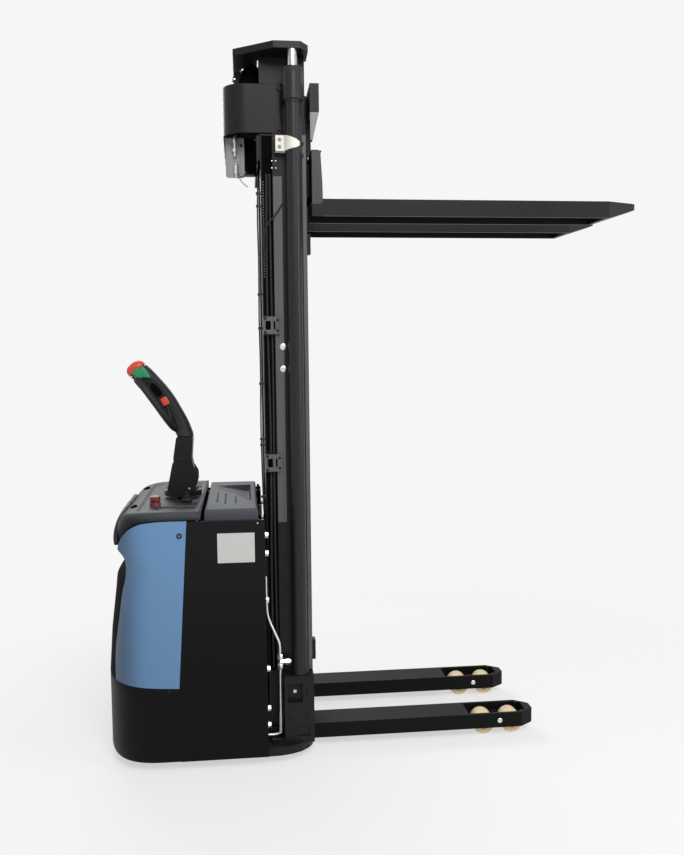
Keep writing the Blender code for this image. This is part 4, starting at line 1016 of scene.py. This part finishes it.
# --- body ---------------------------------------------------------------------------------------

BEND_X, REAR_X = -500.0, -735.0               # where the rear bend starts and how far it reaches
HALF = around("side_panel_L")[1][1]           # half width over the side panels
# height and share of the full bulge
LEVELS = ((34, 1.0), (305, 1.0), (460, 0.95), (600, 0.872), (655, 0.845), (700, 0.85),
          (765, 0.95), (800, 0.98), (870, 0.96), (910, 0.93))
# edges of the blue covers, as X and Z
SEAM = ((-466, 293), (-429, 873))
TOP_EDGE = ((-429, 873), (-505, 873), (-554, 870), (-594, 862), (-625, 845), (-647, 822),
            (-662, 798), (-670, 771))
REAR_EDGE = ((-692, 306), (-690, 411), (-673, 525), (-660, 612), (-647, 662), (-642, 700),
             (-642, 727), (-649, 747), (-670, 771))
LOW_EDGE = (SEAM[0], REAR_EDGE[0])


def reach(z):
    """How far the rear bulges at each height, as a share of the full bulge."""
    return np.interp(z, *np.array(LEVELS).T)


def side_y(x, z):
    """Half width of the body at x and z: |y| = b (1 - s^3)^(1/3), where s is the
    distance behind the bend as a share of the bulge."""
    share = np.clip((BEND_X - x) / ((BEND_X - REAR_X) * reach(z)), 0, 0.9999)
    return HALF * (1 - share ** 3) ** (1 / 3)


def bent(angle, bulge, half):
    """Plan of the rear bend: x = bend - bulge sin^(2/3), y = half cos^(2/3) with the
    cosine's sign, a superellipse of power three."""
    return (BEND_X - bulge * np.abs(np.sin(angle)) ** (2 / 3),
            half * np.sign(np.cos(angle)) * np.abs(np.cos(angle)) ** (2 / 3))


def line(points, t):
    """Point at share t of a 2-D polyline's length, with rounded corners."""
    path = smooth_path(points, 12) if len(points) > 2 else np.asarray(points, float)
    run = np.concatenate([[0], np.cumsum(np.linalg.norm(np.diff(path, axis=0), axis=1))])
    return np.stack([np.interp(t, run / run[-1], path[:, i]) for i in range(2)], -1)


def blue_skin(side, rows=64, columns=48):
    """Patch between four edges: each point of the X-Z plan is the sum of the
    points across from it less the corner mean, and Y follows the body, with a soft
    bell-shaped hollow under the upper rear tip."""
    u = np.linspace(0, 1, columns)[:, None]
    v = np.linspace(0, 1, rows)[None, :]
    low = line(LOW_EDGE, u[:, 0])[:, None]
    high = line(TOP_EDGE, u[:, 0])[:, None]
    front = line(SEAM, v[0])[None]
    rear = line(REAR_EDGE, v[0])[None]
    u, v = u[..., None], v[..., None]
    corner = ((1 - u) * (1 - v) * low[0, 0] + u * (1 - v) * low[-1, 0]
              + (1 - u) * v * high[0, 0] + u * v * high[-1, 0])
    plan = (1 - v) * low + v * high + (1 - u) * front + u * rear - corner
    x, z = plan[..., 0], plan[..., 1]
    hollow = 10 * np.exp(-((z - 705) / 45) ** 2) * np.clip((-x - 560) / 80, 0, 1)
    return spot(x, side * (side_y(x, z) - 0.3 - hollow), z)


def rear_skin():
    """Rear cover: the rear bend between the two blue covers' rear edges, row by row,
    drawn in by an inset that steps inwards above the grip line."""
    z = np.concatenate([np.linspace(306, 649, 40), [651, 652, 652, 654, 700, 772]])[None, :]
    inset = np.concatenate([np.full(40, 0.3), [0.8, 3, 22, 25, 28, 38]])[None, :]
    edge_x, edge_z = np.array(REAR_EDGE, float).T
    edge = np.where(inset > 10, -600.0, np.interp(z, edge_z, edge_x) - 2.0)
    bulge = (BEND_X - REAR_X) * reach(z) - inset
    start = np.arcsin(np.clip((BEND_X - edge) / bulge, 0, 1) ** 1.5)
    angle = start + (np.pi - 2 * start) * np.linspace(0, 1, 60)[:, None]
    return spot(*bent(angle, bulge, HALF - inset), z)


def skirt_skin():
    """Skirt: straight sides and the full rear bend, tucked in at its two edges, with
    its upper edge falling towards the front as the covers' lower edge does."""
    low, high = around("skirt")
    z = np.concatenate([[low[2], low[2] + 3], np.linspace(low[2] + 8, high[2] - 3, 8),
                        [high[2]]])[None, :]
    tuck = np.interp(z, [low[2], low[2] + 8, high[2] - 3, high[2]], [3.0, 0.3, 0.3, 1.5])
    x, y = bent(np.linspace(0, np.pi, 120)[:, None], BEND_X - REAR_X - tuck, HALF - tuck)
    front = high[0] + 1.4 + 0 * z
    x = np.concatenate([front, x, front])
    y = np.concatenate([HALF - tuck, y, tuck - HALF])
    (front_x, front_z), (rear_x, rear_z) = LOW_EDGE
    fall = (rear_z - front_z) * np.clip((x - rear_x) / (front_x - rear_x), 0, 1)
    return spot(x, y, z - fall * (z - low[2]) / (high[2] - low[2]))


class STACKER_OT_side_covers(StackerOperator):
    """Blue side covers, black rear panel and skirt as smooth shells"""
    bl_idname = "stacker.side_covers"
    bl_label = "Side covers"

    def execute(self, context):
        for side, tag in SIDE_TAGS:
            points = blue_skin(side)
            put("side_cover_" + tag, grid(points if side < 0 else points[::-1]), cover_blue(),
                "chassis", 50, wall=0.0045, edge=0.0012, node="blue_cover_" + tag)
        put("rear_cover", grid(rear_skin()), deep_black_and_painted_shade(2.5), "chassis", 50, wall=0.0045,
            edge=0.0015, node="rear_panel")
        put("skirt_shell", grid(skirt_skin()), panel_black(), "chassis", 50, wall=0.004,
            edge=0.001, node="skirt")
        return {"FINISHED"}


# --- hood and battery cover -----------------------------------------------------------------------

HOOD_FRONT, SPINE_REAR = -386, -600           # the deck's front edge, and where its middle line ends
HOOD_BEND = 203                               # how far the hood bulges behind the bend
SHOULDER_ROWS, DECK_ROWS = 8, 24
# X and Z of the deck's top, of the hood's lower rim, and X, Y, Z of half the grab band
DECK = ((-722, 718), (-706, 762), (-690, 806), (-672, 852), (-660, 874), (-645, 889), (-625, 897),
        (-600, 901.5), (-570, 904.4), (-396, 904.6))
HOOD_RIM = ((-704, 764), (-690, 770), (-680, 774), (-670, 779), (-662, 800), (-647, 824),
            (-625, 847.5), (-594, 865), (-554, 873), (-505, 875.5), (-429, 875.5), (-396, 875.5))
HALF_LIP = ((-674, -303, 786), (-678, -288, 802), (-678, -264, 826), (-672, -225, 854),
            (-662, -170, 875), (-654, -90, 887))
VENT = ((0, 9), (7, 8.4), (12, 5.5), (14, 0), (14, -6), (0, -6))


def between(x, start, end, soft):
    """One from start to end, falling to nothing over a soft width inside each end."""
    return np.clip((x - start) / soft, 0, 1) * np.clip((end - x) / soft, 0, 1)


def hood_shell(shoulder):
    """Hood: its plan is straight sides and the rear bend. Rows run up the rim, round a
    quarter-circle shoulder, as wide as the room there, and then straight towards the
    middle line at the deck's height, less a dish 9 deep that stays off the edges."""
    def deck_height(x):
        """Height of the deck's top at x."""
        return np.interp(x, *np.array(DECK).T)

    half = HALF - 0.5
    bend_x, bend_y = bent(np.linspace(0, np.pi, 96), HOOD_BEND, half)
    straight = np.linspace(HOOD_FRONT, BEND_X, 14, endpoint=False)
    x = np.concatenate([straight, bend_x, straight[::-1]])
    y = np.concatenate([0 * straight + half, bend_y, 0 * straight - half])
    spine_x = np.clip(x, SPINE_REAR, HOOD_FRONT)
    low = np.interp(x, *np.array(HOOD_RIM).T)
    soft = np.minimum(shoulder, np.maximum(deck_height(x) - low, 4) * 0.8)
    span = np.hypot(spine_x - x, y) + 1e-6
    rows = [(x, y, low)]
    for turn in np.linspace(0, np.pi / 2, SHOULDER_ROWS + 1):
        share = soft * (1 - np.cos(turn)) / span
        px, py = x + (spine_x - x) * share, y * (1 - share)
        rows.append((px, py, np.maximum(deck_height(px) - soft * (1 - np.sin(turn)), low + 0.5)))
    edge_x, edge_y, _ = rows[-1]
    for k in range(1, DECK_ROWS + 1):
        share = k / DECK_ROWS
        px, py = edge_x + (spine_x - edge_x) * share, edge_y * (1 - share)
        dish = (9.0 * np.clip((-px - 400) / 10, 0, 1) * between(py, -338, 338, 10)
                * np.clip((px + 606) / 12, 0, 1))
        rows.append((px, py, deck_height(px) - dish))
    return grid(np.stack([spot(*row) for row in rows], 1))


class STACKER_OT_hood(StackerOperator):
    """Grey hood: a drooping deck with a soft shoulder, vents and a grab band"""
    bl_idname = "stacker.hood"
    bl_label = "Hood"

    def execute(self, context):
        shoulder = context.scene.stacker_sizes.hood_edge * 1000
        put("hood_shell", hood_shell(shoulder), hood_grey(), "chassis", 40, wall=0.0045, node="hood")
        y = np.linspace(-HALF + 3, HALF - 3, 40)
        front = np.stack([spot(HOOD_FRONT - 0.2, y, z) for z in (903, 876)], 1)
        put("hood_front", grid(front), moulded_grey(), "chassis", wall=0.003)
        ribs = [slab((-545, side * 236 - 5, 893), (-402, side * 236 + 5, 901)) for side in SIDES]
        ribs += [slab((-424, side * 140 - 26, 893), (-400, side * 140 + 26, 903)) for side in SIDES]
        put("hood_ribs", join(ribs), moulded_grey(), "chassis", edge=0.002)
        lip = [*HALF_LIP, (-652, 0, 889), *((x, -y, z) for x, y, z in HALF_LIP[::-1])]
        put("rear_lip", wire(lip, 9.0, 16), grained_black(), "chassis", 60)
        # painted shade: near-black domes stand for the vents' dark insides
        vents = [turned(spot(-622, side * 218, 896), (-0.40, 0, 0.9), VENT) for side in SIDES]
        put("hood_vent_shades", join(vents), deep_black_and_painted_shade(), "chassis")
        return {"FINISHED"}


LID_EDGE = 9                                  # radius of the lid's rounded edge
GROOVES = ((-331, -190, 60), (-301, -235, 20), (-264, -215, -60))      # X, then Y from and to
SCOOP_START = ((-353, 190), (-330, 110), (-261, -11), (-222, -150), (-205, -170))


def lid_shell():
    """Battery cover: a flat top whose edge rounds off as a quarter circle, less three
    V grooves and a scoop that deepens forwards and, as a smooth step, sideways from a
    slanting start; walls go straight down from the edge."""
    low, high = around("battery_cover")
    middle, half_x, half_y = (low[0] + high[0]) / 2, (high[0] - low[0]) / 2, high[1]
    u = np.linspace(-1, 1, 150)[:, None]
    v = np.linspace(-1, 1, 260)[None, :]
    x, y = middle + half_x * u + 0 * v, half_y * v + 0 * u
    inwards = np.minimum(half_x - np.abs(x - middle), half_y - np.abs(y))
    bend = np.clip(LID_EDGE - inwards, 0, LID_EDGE)
    z = high[2] - (LID_EDGE - np.sqrt(np.maximum(LID_EDGE ** 2 - bend ** 2, 0)))
    for groove_x, start, end in GROOVES:
        across = np.clip(1 - np.abs(x - groove_x) / 4, 0, 1)
        z = z - 4.0 * across * between(y, start, end, 8)
    depth = np.clip((x + 353) / 130, 0, 1) * np.clip((-208 - x) / 7, 0, 1)
    slope = np.clip((y - np.interp(x, *np.array(SCOOP_START).T)) / 55, 0, 1)
    scoop = depth * slope * slope * (3 - 2 * slope) * np.clip((232 - y) / 9, 0, 1)
    top = grid(spot(x, y, z - 22 * scoop))
    plan = np.stack([x, y], -1)
    rim = np.concatenate([plan[:, 0], plan[-1], plan[::-1, -1], plan[0, ::-1]])
    wall = np.stack([spot(rim[:, 0], rim[:, 1], h)
                     for h in (high[2] - LID_EDGE, low[2] + 2, low[2] + 0.5)], 1)
    return join([top, grid(wall)])


class STACKER_OT_battery_lid(StackerOperator):
    """Battery cover: rounded tray with three grooves and a wedge hand-hold"""
    bl_idname = "stacker.battery_lid"
    bl_label = "Battery cover"

    def execute(self, context):
        put("battery_lid", lid_shell(), moulded_grey(), "battery_lid", 50, wall=0.003,
            node="battery_cover")
        top = around("battery_cover")[1][2]
        plug = turned(spot(-343, -222, top - 0.2), UP, ((0, 0.4), (3.5, 0.4), (4.5, 0), (0, -1)), 20)
        put("lid_plug", plug, grained_black(), "battery_lid")
        return {"FINISHED"}


class STACKER_OT_panel_fittings(StackerOperator):
    """Screws, blank plate and rubber buffers of the side panels"""
    bl_idname = "stacker.panel_fittings"
    bl_label = "Panel fittings"

    def execute(self, context):
        dark, rivets = [], []
        for side in SIDES:
            out = (0, side, 0)
            dark += [cap_screw(spot(-454, side * (HALF - 2.0), 823), out, 9.5, 4.0),
                     cap_screw(spot(-500, side * (HALF - 2.0), 285), out, 4.5, 2.8)]
            rivets.append(cap_screw(spot(-190, side * HALF, 860), out, 2.6, 1.4))
        plate_face = -HALF - 1.2
        rivets += screws([(x, plate_face, z) for z in (730, 824) for x in (-323, -205)],
                         -ACROSS, 2.0, 1.2)
        put("panel_screws", join(dark), grained_black(), "chassis")
        put("plate_rivets", join(rivets), zinc(), "chassis")
        put("blank_plate", slab((-327, plate_face, 726), (-201, -HALF + 0.5, 828)), plate_silver(),
            "chassis")
        posts = [slab((-183, y - 6, 862), (-172, y + 6, 901)) for y in (250, -250)]
        put("mast_buffers", join(posts), rubber(), "chassis", edge=0.002)
        return {"FINISHED"}


# --- tiller -----------------------------------------------------------------------------------------

# X and Z along the head's front and rear edges, with half its width at each place
HEAD_FRONT = ((-420, 1130), (-424, 1148), (-441, 1192), (-464, 1236), (-489, 1280), (-517, 1319),
              (-545, 1352), (-569, 1379), (-589, 1398))
HEAD_REAR = ((-482, 1130), (-494, 1160), (-506, 1195), (-518, 1238), (-532, 1275), (-543, 1303),
             (-572, 1328), (-615, 1340), (-645, 1348))
HEAD_HALF = (38, 35, 33, 32, 32, 33, 34, 34, 33)
WEB_REAR = ((-482, 1130), (-498, 1165), (-522, 1205), (-552, 1248), (-572, 1280), (-588, 1305),
            (-606, 1328), (-628, 1345), (-645, 1350))
WEB_HALF = (14, 14, 14, 14, 14, 14, 16, 22, 26)
GRIP = ((-478, 18, 1158), (-492, 34, 1168), (-512, 58, 1196), (-540, 76, 1238), (-566, 82, 1276),
        (-590, 76, 1310), (-608, 58, 1331), (-617, 38, 1341), (-620, 16, 1345))
FINGER_OPENING = ((-548, 1278), (-560, 1290), (-572, 1308), (-574, 1320), (-562, 1324),
                  (-546, 1312), (-538, 1296), (-539, 1284))
SWITCH_EDGE = ((-640, 1371), (-628, 1352), (-618, 1329), (-610, 1334), (-600, 1350), (-571, 1350),
               (-577, 1366), (-586, 1380), (-599, 1393), (-610, 1387), (-623, 1384))
CAP_ROOT = np.array([-617.5, 0, 1373.5])      # middle of the handle's end
CAP_OUT = np.array([-0.688, 0, 0.726])        # out of the handle's end
CAP_ALONG = np.array([0.75, 0, 0.66])         # across the handle's end
RING = 48                                     # points round each rounded square


def squared(count, power=0.62):
    """Rounded square as cosine and sine, each raised to a power below one."""
    angle = np.linspace(0, 2 * np.pi, count, endpoint=False)
    c, s = np.cos(angle), np.sin(angle)
    return np.sign(c) * np.abs(c) ** power, np.sign(s) * np.abs(s) ** power


def ribbed_head(front, rear, half):
    """Head between a front and a rear edge: rounded squares centred between the
    edges, as thick as they are apart and as wide as the half widths."""
    front, rear = (smooth_path(spot(x, 0, z)) for x, z in (np.array(front).T, np.array(rear).T))
    share = np.linspace(0, 1, len(front))
    half = np.interp(share, np.linspace(0, 1, len(half)), half) / 1000
    a, b = squared(RING)
    points = (((front + rear) / 2)[:, None, :] + a[None, :, None] * ((front - rear) / 2)[:, None, :]
              + (half[:, None] * b)[..., None] * ACROSS)
    return grid(points, wrap_v=True, cap=True)


def grip(side, radius):
    """Grip: round tube on a smooth loop, 15 percent thicker at its ends than halfway
    between, as a cosine of the share of its length."""
    loop = smooth_path(spot(*(np.array(GRIP) * (1, side, 1)).T), 10)
    share = np.linspace(0, 1, len(loop))
    return swept(loop, radius * (1 + 0.15 * np.cos(2 * np.pi * share)), 20, (0.3, 0.2, -0.9))


def end_rows(heights, half_long, half_wide, scale=1.0):
    """Rounded squares over the handle's end, one at each height along its outward
    direction, half_long by half_wide times the scale."""
    a, b = squared(RING)
    scale = np.broadcast_to(scale, len(heights))[:, None]
    points = (CAP_ROOT + np.asarray(heights)[:, None, None] * CAP_OUT
              + (half_long * scale * a)[..., None] * CAP_ALONG
              + (half_wide * scale * b)[..., None] * ACROSS)
    return spot(*np.moveaxis(points, -1, 0))


def end_cap():
    """End cap: a dome 34 high whose rounded squares shrink by the root of
    1 - t^3.2 at share t of its height, closed at the top."""
    t = np.sin(np.linspace(0, np.pi / 2, 16))
    shrink = np.sqrt(np.maximum(1 - t ** 3.2, 0.0005))
    points, faces = grid(end_rows(5.9 + 34.1 * t, 37, 33, shrink), wrap_v=True)
    return points, faces + [list(range(len(points) - RING, len(points)))]


def switch_wing(side):
    """One wing of the thumb switch: its outline at six widths, shrunk about its
    middle as it rounds off outwards."""
    loop = closed_loop(SWITCH_EDGE, 8)
    middle = loop.mean(0)
    rows = []
    for y, scale in ((33.5, 0.94), (35, 1), (43, 1), (46, 0.95), (47.5, 0.84), (47.8, 0.5)):
        x, z = (middle + (loop - middle) * scale).T
        rows.append(spot(x, side * y, z))
    return grid(np.stack(rows), wrap_v=True, cap=True)


def horn_cap():
    """Horn button: a rounded rectangle turned 28 degrees to follow the handle, shrunk
    as it rounds off outwards."""
    a, b = squared(40, 0.4)
    lean = math.radians(28)
    x = 13.0 * a * math.cos(lean) - 15.5 * b * math.sin(lean)
    z = 13.0 * a * math.sin(lean) + 15.5 * b * math.cos(lean)
    rows = [spot(-520.5 + k * x, -y, 1262.5 + k * z)
            for y, k in ((31.5, 1), (34.5, 1), (36, 0.92), (36.4, 0.7))]
    return grid(np.stack(rows), wrap_v=True, cap=True)


class STACKER_OT_tiller(StackerOperator):
    """Handle head, grips, thumb switch, end cap and swivel details of the tiller"""
    bl_idname = "stacker.tiller"
    bl_label = "Tiller"

    def execute(self, context):
        parts = [ribbed_head(HEAD_FRONT, HEAD_REAR, HEAD_HALF),
                 ribbed_head(HEAD_FRONT, WEB_REAR, WEB_HALF)]
        parts += [grip(side, context.scene.stacker_sizes.grip) for side in SIDES]
        parts.append(grid(end_rows((-3.0, 8.0), 30, 26), wrap_v=True, cap=True))
        put("handle_head", join(parts), grained_black(), "tiller", 60, node="tiller_handle")
        # painted shade: near-black plates fill the finger openings
        opening = closed_loop(FINGER_OPENING, 6)
        holes = [outline_plate(opening, side * 14, side * 30) for side in SIDES]
        put("finger_opening_shades", join(holes), deep_black_and_painted_shade(), "tiller", 60)

        put("belly_cap", end_cap(), bright_plastic("signal_orange"), "belly", 60, wall=0.003,
            node="belly_button")
        pin = turned(spot(-590, 0, 1362), ACROSS, ((0, -36), (6, -36), (6, 36), (0, 36)), 20)
        wings = join([switch_wing(-1), switch_wing(1), pin])
        put("thumb_wings", wings, bright_plastic("switch_green"), "thumb", 50, node="thumb_switch")
        put("horn_cap", horn_cap(), bright_plastic("signal_orange"), "horn", 50, node="horn_button")

        bright, dark = [], []
        for side in SIDES:
            out = (0, side, 0)
            bright += screws([(-498, side * 46, 921), (-438, side * 46, 934)], out, 4.0, 3)
            dark += screws([(x, side * 39, 1044) for x in (-461, -446)], out, 4, 0.8)
        turn = np.linspace(0.4, 0.4 + 2 * np.pi, 6, endpoint=False)
        flange = screws([(x, y, 925) for x, y in arc(-464, 0, 58, turn)], UP, 5, CAP_SCREW)
        put("tiller_base_screws", join(bright), zinc(), "steer")
        put("flange_screws", join(flange), grained_black(), "steer")
        put("tiller_arm_screws", join(dark), satin_black(), "tiller")
        return {"FINISHED"}


MUSHROOM = ((0, 933), (14, 933), (18, 931), (19, 927), (19, 916.5), (17, 915.5), (9, 915.5),
            (9, 901), (0, 901))
STOP_NECK = ((9.5, 909), (17.3, 909), (17.3, 915.2), (9.5, 915.2))
STOP_COLLAR = ((18, 890), (18, 909.8), (19, 909.8), (19.8, 908), (19.8, 890))
KEY_RING = ((13.4, 904), (13.4, 908.5), (17, 908), (18.5, 905), (18.5, 900))


class STACKER_OT_controls(StackerOperator):
    """Emergency stop mushroom with its neck and collar, and the key's ring"""
    bl_idname = "stacker.controls"
    bl_label = "Controls"

    def execute(self, context):
        centre = spot(*middle_of("stop_button")[:2], 0)
        red = bright_plastic("stop_red")
        put("stop_mushroom", turned(centre, UP, MUSHROOM, 48), red, "stop", 40, node="stop_button")
        put("stop_neck", turned(centre, UP, STOP_NECK, 40), rubber(), "stop")
        put("stop_collar", turned(centre, UP, STOP_COLLAR, 40), red, "chassis")
        centre = spot(*middle_of("key_switch")[:2], 0)
        put("key_ring", turned(centre, UP, KEY_RING, 40), grained_black(), "chassis")
        return {"FINISHED"}


# --- stage ------------------------------------------------------------------------------------------

CAMERA_PLACE = (-226.3, -3387.9, 1427.7)      # millimetres from the mast's front edge
CAMERA_YAW, CAMERA_PITCH, CAMERA_ROLL = 0.1093, 0.0817, -0.0099
CAMERA_LENS = 37.34
WHITE = (1, 1, 1)
BACKGROUND = 0.925                            # strength at which the background is seen
ROOM_LIGHT = 0.42                             # strength at which the room lights the object
FLOOR_HALF = 40.0                             # half the floor's width in metres


def seen(nodes):
    """One for rays that show the background: camera, glossy and transmission rays."""
    path = nodes.add("ShaderNodeLightPath").socket.node
    camera, glossy, through = (Sock(nodes, path.outputs[kind]) for kind in
                               ("Is Camera Ray", "Is Glossy Ray", "Is Transmission Ray"))
    return (camera + glossy + through) > 0.5


def floor_material():
    """Matt white floor that fades to plain background white away from the object,
    for the rays that show the background."""
    p = Paint("stage_floor", Base_Color=(0.90, 0.90, 0.90), Roughness=0.9, Specular_IOR_Level=0.0)
    x, y, _ = p.axes(p.place())
    far = (x * x + y * y) ** 0.5
    share = seen(p) * far.ramp(0.9, 2.8, 0.62, 1.0)
    glow = p.add("ShaderNodeEmission", {}, {"Color": WHITE, "Strength": BACKGROUND})
    matt = Sock(p, p.shader.outputs[0])
    both = p.add("ShaderNodeMixShader", {}, {0: share, 1: matt, 2: glow})
    p.feed(p.tree.nodes["Material Output"].inputs["Surface"], both)
    return p.material


def studio():
    """Plain white room, seen brighter than it lights."""
    world = bpy.data.worlds.new("studio")
    world.use_nodes = True
    nodes = Nodes(world.node_tree)
    nodes.tree.nodes.clear()
    light, shown = (nodes.add("ShaderNodeBackground", {}, {"Color": WHITE, "Strength": strength})
                    for strength in (ROOM_LIGHT, BACKGROUND))
    both = nodes.add("ShaderNodeMixShader", {}, {0: seen(nodes), 1: light, 2: shown})
    nodes.add("ShaderNodeOutputWorld", {}, {"Surface": both})
    return world


def area_lamp(name, place, target, size, power):
    """Rectangular lamp at a place, turned towards a target."""
    lamp = bpy.data.lights.new(name, "AREA")
    lamp.shape, lamp.size, lamp.size_y, lamp.energy = "RECTANGLE", size[0], size[1], power
    obj = bpy.data.objects.new(name, lamp)
    bpy.context.scene.collection.objects.link(obj)
    obj.location = place
    obj.rotation_mode = "QUATERNION"
    obj.rotation_quaternion = (Vector(target) - Vector(place)).to_track_quat("-Z", "Y")


def place_camera(scene):
    """Camera at its place, turned by yaw about Z, then pitch downwards, then roll."""
    camera = bpy.data.cameras.new("camera")
    camera.sensor_width, camera.lens = 36.0, CAMERA_LENS
    camera.clip_start, camera.clip_end = 0.1, 200
    eye = bpy.data.objects.new("camera", camera)
    scene.collection.objects.link(eye)
    cy, sy = math.cos(CAMERA_YAW), math.sin(CAMERA_YAW)
    cp, sp = math.cos(CAMERA_PITCH), math.sin(CAMERA_PITCH)
    cr, sr = math.cos(CAMERA_ROLL), math.sin(CAMERA_ROLL)
    ahead = Vector((sy * cp, cy * cp, -sp))
    right = Vector((cy, -sy, 0))
    up = right.cross(ahead)
    right, up = cr * right + sr * up, cr * up - sr * right
    turn = Matrix((right, up, -ahead)).transposed()
    eye.matrix_world = Matrix.Translation(Vector(spot(*CAMERA_PLACE))) @ turn.to_4x4()
    scene.camera = eye


class STACKER_OT_stage(StackerOperator):
    """Pale floor, studio light and the camera"""
    bl_idname = "stacker.stage"
    bl_label = "Stage"

    def execute(self, context):
        scene = context.scene
        scene.view_settings.view_transform = "Standard"
        mesh = bpy.data.meshes.new("stage_floor")
        corners = ((-1, -1), (1, -1), (1, 1), (-1, 1))
        mesh.from_pydata([(FLOOR_HALF * x, FLOOR_HALF * y, 0) for x, y in corners], [], [(0, 1, 2, 3)])
        mesh.materials.append(floor_material())
        floor = bpy.data.objects.new("stage_floor", mesh)
        scene.collection.objects.link(floor)
        scene.world = studio()
        middle = (0, 0, 1.1)
        area_lamp("key_lamp", (0.6, -4.6, 4.8), middle, (2.6, 2.6), 200)
        area_lamp("fill_lamp", (4.4, -3.0, 2.2), middle, (1.6, 3.0), 90)
        area_lamp("rim_lamp", (-1.5, 3.8, 3.8), middle, (3.0, 2.0), 110)
        place_camera(scene)
        return {"FINISHED"}


# --- add-on -------------------------------------------------------------------------------------------

OPERATORS = (STACKER_OT_frame_finishes, STACKER_OT_mast_fittings, STACKER_OT_mast_faces,
             STACKER_OT_cylinders, STACKER_OT_top_fittings, STACKER_OT_chains, STACKER_OT_cables,
             STACKER_OT_pipework, STACKER_OT_chassis_fittings, STACKER_OT_wheels,
             STACKER_OT_side_covers, STACKER_OT_hood, STACKER_OT_battery_lid,
             STACKER_OT_panel_fittings, STACKER_OT_tiller, STACKER_OT_controls, STACKER_OT_stage)


class STACKER_PT_panel(bpy.types.Panel):
    """Lists the stacker's settings and operators"""
    bl_label = "Walkie stacker"
    bl_idname = "STACKER_PT_panel"
    bl_space_type = "VIEW_3D"
    bl_region_type = "UI"
    bl_category = "Stacker"

    def draw(self, context):
        for group in (context.scene.stacker_sizes, context.scene.stacker_colours):
            for name in group.bl_rna.properties.keys():
                if name not in ("rna_type", "name"):
                    self.layout.prop(group, name)
        for operator in OPERATORS:
            self.layout.operator(operator.bl_idname)


CLASSES = (StackerSizes, StackerColours, *OPERATORS, STACKER_PT_panel)


def register():
    for cls in CLASSES:
        bpy.utils.register_class(cls)
    bpy.types.Scene.stacker_sizes = bpy.props.PointerProperty(type=StackerSizes)
    bpy.types.Scene.stacker_colours = bpy.props.PointerProperty(type=StackerColours)


def unregister():
    del bpy.types.Scene.stacker_sizes
    del bpy.types.Scene.stacker_colours
    for cls in reversed(CLASSES):
        bpy.utils.unregister_class(cls)


def main():
    register()
    for operator in OPERATORS:
        group, name = operator.bl_idname.split(".")
        getattr(getattr(bpy.ops, group), name)()


if __name__ == "__main__":
    main()
